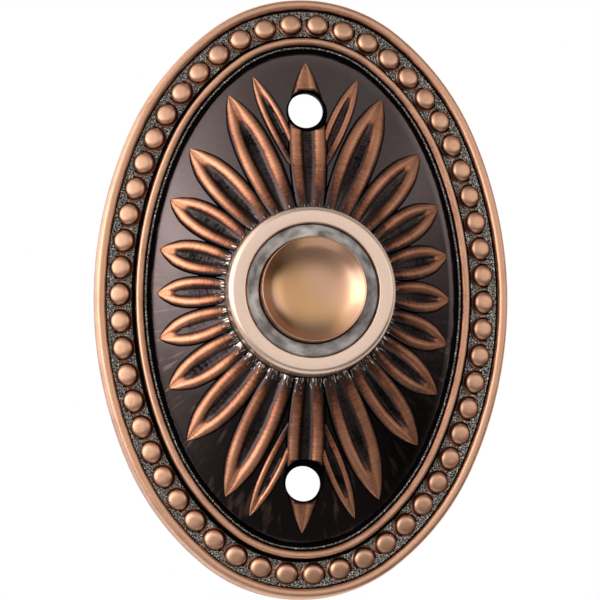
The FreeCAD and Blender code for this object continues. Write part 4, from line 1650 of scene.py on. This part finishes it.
@dataclass
class Button:
    """Bezel, lit ring, dished cap and return spring."""

    bezel_radius: float = 10.0
    bezel_inner: float = 7.95
    bezel_top: float = 11.2
    bezel_bevel: tuple[float, float] = (0.45, 0.5)
    skirt_radius: float = 9.05
    skirt_bottom: float = 5.57
    seat: float = 8.4
    ring_radius: float = 7.85
    ring_bore: float = 6.35
    ring_top: float = 10.85
    ring_foot: float = 4.8
    ring_foot_width: float = 0.5
    ring_foot_height: float = 0.75
    cap_radius: float = 6.2
    cap_top: float = 12.9
    cap_bottom: float = 8.0
    cap_inner: float = 5.3
    cap_floor: float = 1.1
    dish_depth: float = 1.7
    socket_outer: float = 2.57
    socket_inner: float = 1.62
    socket_depth: float = 1.4
    spring_radius: float = 3.2
    spring_wire: float = 0.22
    spring_turns: float = 4.0

    def bezel(self, material: Material) -> Object:
        """Turn the bezel with its flat face and rounded outer edge.

        Args:
            material: Its finish.

        Returns:
            The piece.
        """
        bevel_width, bevel_height = self.bezel_bevel
        section = [
            (self.bezel_inner, self.skirt_bottom, 0),
            (self.skirt_radius, self.skirt_bottom, 0),
            (self.skirt_radius, self.seat, 0),
            (self.bezel_radius, self.seat, 0.05),
            (self.bezel_radius, self.bezel_top - bevel_height, 0.4),
            (self.bezel_radius - bevel_width, self.bezel_top, 0.25),
            (self.bezel_inner, self.bezel_top, 0.18),
        ]
        return lathe("bezel", section, material, segments=192)

    def light_ring(self, material: Material) -> Object:
        """Turn the frosted ring.

        Args:
            material: Its finish.

        Returns:
            The piece.
        """
        foot = self.ring_radius + self.ring_foot_width
        ledge = self.ring_foot + self.ring_foot_height
        section = [
            (self.ring_bore, self.ring_foot, 0),
            (foot, self.ring_foot, 0),
            (foot, ledge, 0),
            (self.ring_radius, ledge, 0),
            (self.ring_radius, self.ring_top, 0.35),
            (self.ring_bore, self.ring_top, 0.2),
        ]
        return lathe("lit_ring", section, material, segments=160)

    def cap(self, material: Material) -> Object:
        """Turn the cap with its polished dish, skirt and plunger socket.

        Args:
            material: Its finish.

        Returns:
            The piece.
        """
        floor = self.cap_top - self.dish_depth
        ceiling = floor - self.cap_floor
        section = [
            (0, floor, 0),
            (2.8, floor + 0.05, 2.0),
            (4.7, floor + 0.5, 1.2),
            (6.02, self.cap_top - 0.12, 0.2),
            (6.1, self.cap_top, 0.05),
            (self.cap_radius, self.cap_top, 0.12),
            (self.cap_radius, self.cap_bottom, 0.1),
            (self.cap_inner, self.cap_bottom, 0.1),
            (self.cap_inner, ceiling, 0.2),
            (self.socket_outer, ceiling, 0),
            (self.socket_outer, ceiling - self.socket_depth, 0.1),
            (self.socket_inner, ceiling - self.socket_depth, 0),
            (self.socket_inner, ceiling, 0),
            (0, ceiling, 0),
        ]
        return lathe("cap", section, material, segments=192, steps=8)

    def coil_tree(self, back: float) -> GeometryNodeTree:
        """Build the tree that sweeps a round wire along a helix.

        Args:
            back: Where the coil's axis ends in the wall's direction, in metres.

        Returns:
            The tree.
        """
        names = ("Turns", "Coil Radius", "Wire Radius", "Length")
        tree = new_tree("return_coil", {name: "Float" for name in names})
        turns, coil_radius, wire_radius, length = (tree.nodes[0].outputs[name] for name in names)
        helix = add(
            tree,
            "GeometryNodeCurveSpiral",
            {
                "Resolution": 40,
                "Rotations": turns,
                "Start Radius": coil_radius,
                "End Radius": coil_radius,
                "Height": length,
            },
        )
        wire = add(tree, "GeometryNodeCurvePrimitiveCircle", {"Resolution": 12, "Radius": wire_radius})
        tube = add(
            tree,
            "GeometryNodeCurveToMesh",
            {"Curve": helix, "Profile Curve": wire, "Fill Caps": True},
        )
        move = {"Translation": (0, back, 0), "Rotation": (math.pi / 2, 0, 0)}
        return end_tree(tree, add(tree, "GeometryNodeTransform", {"Geometry": tube, **move}))

    def spring(self, material: Material) -> Object:
        """Wind the return spring into the box of the part's own spring.

        Args:
            material: The wire's finish.

        Returns:
            The spring as one plain mesh.
        """
        low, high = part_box("return_spring")
        wire = self.spring_wire * MM
        values = {
            "Turns": self.spring_turns,
            "Coil Radius": self.spring_radius * MM,
            "Wire Radius": wire,
            "Length": high.y - low.y - 2 * wire,
            "Finish": material,
        }
        host = link("coil_host", bpy.data.meshes.new("coil_host"))
        return grow(host, self.coil_tree(high.y - wire), values, "return_coil")


# The studio


@dataclass
class Studio:
    """Camera, soft lights, pale floor and white surroundings.

    Room holds the grey of the surroundings in front, from straight below at 0 to straight
    above at 1. Each panel is a brighter or darker side: the reach to the right where it
    begins, where it is full, and what it adds.
    """

    focal_pixels: float = 8000.0
    picture_pixels: float = 600.0
    sensor: float = 36.0
    yaw: float = 7.92
    pitch: float = 6.35
    roll: float = -0.42
    shift_right: float = -0.055
    shift_up: float = -0.043
    distance: float = 951.2
    floor_drop: float = 450.0
    floor_reach: float = 250.0
    room: Curve = (
        (0.0, 0.2),
        (0.28, 0.18),
        (0.42, 0.18),
        (0.5, 0.8),
        (0.57, 1.0),
        (0.68, 0.75),
        (0.82, 0.3),
        (1.0, 0.15),
    )
    panels: tuple[tuple[float, float, float], ...] = ((-0.12, -0.6, 0.75), (0.4, 0.9, -0.65))

    def camera(self) -> None:
        """Stand the camera where the picture was taken from."""
        yaw, pitch, roll = (math.radians(a) for a in (self.yaw, self.pitch, self.roll))
        turn_yaw = Matrix.Rotation(yaw, 3, "Y")
        turn_pitch = Matrix.Rotation(-pitch, 3, "X")
        turn_roll = Matrix.Rotation(roll, 3, "Z")
        to_camera = turn_roll @ turn_pitch @ turn_yaw
        to_plate = Matrix(((1, 0, 0), (0, 0, 1), (0, -1, 0)))
        rotation = (to_camera @ to_plate).transposed()
        offset = Vector((-self.shift_right, -self.shift_up, self.distance)) * MM
        data = bpy.data.cameras.new("camera")
        data.sensor_width = self.sensor
        data.lens = self.sensor * self.focal_pixels / self.picture_pixels
        data.clip_start = 0.05
        data.clip_end = 20.0
        made = bpy.data.objects.new("camera", data)
        made.matrix_world = Matrix.Translation(rotation @ offset) @ rotation.to_4x4()
        bpy.context.scene.collection.objects.link(made)
        bpy.context.scene.camera = made

    def lamp(self, name: str, spot: tuple[float, float, float], size: float, power: float) -> None:
        """Hang one square soft light that faces the button.

        Args:
            name: The light's name.
            spot: Its place in metres.
            size: Its side in metres.
            power: Its power in watts.
        """
        data = bpy.data.lights.new(name, "AREA")
        data.shape = "SQUARE"
        data.size = size
        data.energy = power
        made = bpy.data.objects.new(name, data)
        made.location = spot
        made.rotation_euler = (-Vector(spot)).to_track_quat("-Z", "Y").to_euler()
        bpy.context.scene.collection.objects.link(made)

    def room_in_front(self, tree: NodeTree, way: dict[str, NodeSocket]) -> Node:
        """Work out how bright the surroundings in front of the button are.

        Args:
            tree: The world's tree.
            way: The parts of each direction.

        Returns:
            The node that gives the brightness.
        """
        height = add(tree, "ShaderNodeMath", {0: way["Z"], 1: 0.5, 2: 0.5}, operation="MULTIPLY_ADD")
        greys = [(at, (grey, grey, grey, 1)) for at, grey in self.room]
        ramp = add(tree, "ShaderNodeValToRGB", {"Fac": height}, greys)
        ramp.color_ramp.interpolation = "B_SPLINE"
        sides = {"From Min": -0.9, "From Max": 0.9, "To Min": 1.25, "To Max": 0.95}
        side = add(tree, "ShaderNodeMapRange", {"Value": way["X"], **sides})
        front = add(tree, "ShaderNodeMath", {0: ramp, 1: side}, operation="MULTIPLY")
        above = add(
            tree,
            "ShaderNodeMapRange",
            {"Value": way["Z"], "From Min": -0.6, "From Max": 0.1, "To Min": 0.1},
            interpolation_type="SMOOTHSTEP",
        )
        for near, far, level in self.panels:
            panel = add(
                tree,
                "ShaderNodeMapRange",
                {"Value": way["X"], "From Min": near, "From Max": far, "To Max": level},
                interpolation_type="SMOOTHSTEP",
            )
            front = add(tree, "ShaderNodeMath", {0: panel, 1: above, 2: front}, operation="MULTIPLY_ADD")
        return front

    def world(self) -> None:
        """White behind the button, and a room in front that is pale above and dark below."""
        scene = bpy.context.scene
        scene.world = bpy.data.worlds.new("studio")
        scene.world.use_nodes = True
        tree = scene.world.node_tree
        tree.nodes.clear()
        rays = add(tree, "ShaderNodeLightPath").outputs
        direction = add(tree, "ShaderNodeTexCoord").outputs["Generated"]
        way = add(tree, "ShaderNodeSeparateXYZ", {0: direction}).outputs
        shade = self.room_in_front(tree, way)
        behind = add(tree, "ShaderNodeMapRange", {"Value": way["Y"], "From Min": -0.1, "From Max": 0.3})
        for white in (behind, rays["Is Camera Ray"], rays["Is Transmission Ray"]):
            shade = add(tree, "ShaderNodeMath", {0: shade, 1: white}, operation="MAXIMUM")
        background = add(tree, "ShaderNodeBackground", {"Color": (1, 1, 1, 1), "Strength": shade})
        add(tree, "ShaderNodeOutputWorld", {"Surface": background})

    def floor(self) -> None:
        """Lay a pale floor well below the button, which is fixed to a wall in use."""
        mesh = bpy.data.meshes.new("floor")
        reach = self.floor_reach * MM
        level = -self.floor_drop * MM
        corners = [(-reach, -reach), (reach, -reach), (reach, reach), (-reach, reach)]
        mesh.from_pydata([(x, y, level) for x, y in corners], [], [(0, 1, 2, 3)])
        mesh.materials.append(FloorPaint("pale_floor_paint").build())
        made = link("floor", mesh)

    def build(self) -> None:
        """Set up the whole studio."""
        bpy.context.scene.view_settings.view_transform = "Standard"
        self.camera()
        self.lamp("key", (-0.75, -0.5, 0.05), 0.7, 2.5)
        self.lamp("fill", (0.75, -0.6, 0.2), 0.6, 1.0)
        self.world()
        self.floor()


CAD_FINISHES = {
    "ivory_acetal": ("plunger",),
    "spring_steel": ("plunger_clip",),
    "black_phenolic": ("switch_housing", "rear_cover"),
    "green_board_resin": ("circuit_board",),
    "chip_resistor": ("resistor",),
    "diode_glass": ("diode",),
    "lamp_resin": ("led_left", "led_right"),
    "zinc_plated_steel": ("housing_screw_lower", "housing_screw_upper"),
    "rolled_brass": (
        "contact_bridge",
        "board_pin_left",
        "board_pin_right",
        "fixed_contact_left",
        "fixed_contact_right",
        "terminal_clamp_left",
        "terminal_clamp_right",
        "terminal_screw_left",
        "terminal_screw_right",
    ),
}


def dress_nodes(materials: dict[str, Material]) -> None:
    """Give each CAD node that stays its finish.

    Args:
        materials: Every material by name.
    """
    for finish, nodes in CAD_FINISHES.items():
        for name in nodes:
            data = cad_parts[name].data
            data.materials.clear()
            data.materials.append(materials[finish])
            LOG.info("%s dressed in %s", name, finish)


def finishes() -> dict[str, Material]:
    """Make every material of the object.

    Returns:
        The materials by name.
    """
    made = [
        # Rim, ridge and beads: pink-orange crests that turn brown and black in the hollows
        RelievedCopper("relieved_antique_copper"),
        # Petals, rubbed less: a redder and deeper copper
        RelievedCopper("relieved_petal_copper", copper="D99B79", warm="A0664C", brown="5A3A2E"),
        # Field behind the petals: a dark mirror
        BlackField("lacquered_black_copper"),
        # Channel's floor and the groove's thread: grey grain with silver glints
        StippledGround("stippled_ground"),
        # Back of the zinc casting, blackened and left rough: near black, with a coarse grain
        GrainedMetal("dark_cast_back", "2A2220", 0.5, grain_mm=0.5, depth_mm=0.02),
        # Bezel, brushed copper plating under lacquer: pale pink with a soft sheen
        GrainedMetal("satin_copper", "FFE0CB", 0.34, grain_mm=0.18, depth_mm=0.003, variation=0.06),
        # Cap: soft gold and pink reflections
        PolishedDish("polished_copper"),
        # Lit ring: cloudy grey
        FrostedRing("frosted_acrylic"),
        # Screw holes' walls, blackened and given no gleam at all, so that they also stand for the shade
        # inside the holes: partly painted shade
        Moulded("black_lacquered_sink", "0A0808", roughness=0.4, depth_mm=0.003, specular=0.0),
        # Housing and cover, moulded phenolic: a dull black
        Moulded("black_phenolic", "1B1B1C", roughness=0.42),
        # Plunger, moulded acetal: a waxy off-white
        Moulded("ivory_acetal", "D9D2C0", roughness=0.35),
        # Contacts and terminals, rolled brass sheet and turned screws: warm yellow gleam
        GrainedMetal("rolled_brass", "D9B25F", 0.28, grain_mm=0.25),
        # Ear screws, zinc-plated steel: cool pale grey
        GrainedMetal("zinc_plated_steel", "B9BCC0", 0.3, grain_mm=0.2),
        # Spring and clip, drawn spring steel: darker grey with a sharper gleam
        GrainedMetal("spring_steel", "A5A7AA", 0.25, grain_mm=0.15),
        # Lamp board, lacquered glass-fibre resin: glossy green
        Moulded("green_board_resin", "1F6B38", roughness=0.3, grain_mm=0.15),
        # Lamps, clear yellow resin: glossy pale yellow
        Moulded("lamp_resin", "E8D27A", roughness=0.2),
        # Resistor, glazed ceramic chip: satin black
        Moulded("chip_resistor", "202022", roughness=0.35),
        # Diode, sealed glass over copper: glossy orange-brown that lets some light through
        Moulded("diode_glass", "B4532A", roughness=0.1, transmission=0.4),
    ]
    return {finish.name: finish.build() for finish in made}


def build_plate(materials: dict[str, Material]) -> None:
    """Build the plate, its beads, its flower and its bosses.

    Args:
        materials: Every material by name.
    """
    plate = Plate(Outline())
    copper = materials["relieved_antique_copper"]
    back = materials["dark_cast_back"]
    # sink: the holes' black walls, partly painted shade
    sink = materials["black_lacquered_sink"]
    zones = {
        Zone.COPPER: copper,
        Zone.GROUND: materials["stippled_ground"],
        Zone.FIELD: materials["lacquered_black_copper"],
        Zone.BACK: back,
    }
    shell = settle(plate.shell(zones, sink), "plate")
    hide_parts("faceplate")
    settle(plate.bead_row(copper), "plate")
    petals = Flower(plate).build(materials["relieved_petal_copper"], sink)
    settle(petals, "plate")
    for boss in plate.bosses(back):
        settle(boss, "plate")


def build_button(materials: dict[str, Material]) -> None:
    """Build the bezel, the lit ring, the cap and the return spring.

    Args:
        materials: Every material by name.
    """
    button = Button()
    bezel = settle(button.bezel(materials["satin_copper"]), "plate")
    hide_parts("bezel_ring")
    ring = settle(button.light_ring(materials["frosted_acrylic"]), "plate")
    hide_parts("light_ring")
    cap = settle(button.cap(materials["polished_copper"]), "button")
    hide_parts("button_cap")
    coil = settle(button.spring(materials["spring_steel"]), "plate")
    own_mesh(coil)
    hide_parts("return_spring")


def main() -> None:
    """Build every piece and the studio."""
    logging.basicConfig(level=logging.INFO, format="%(message)s")
    materials = finishes()
    Studio().build()
    build_plate(materials)
    build_button(materials)
    dress_nodes(materials)


if __name__ == "__main__":
    main()
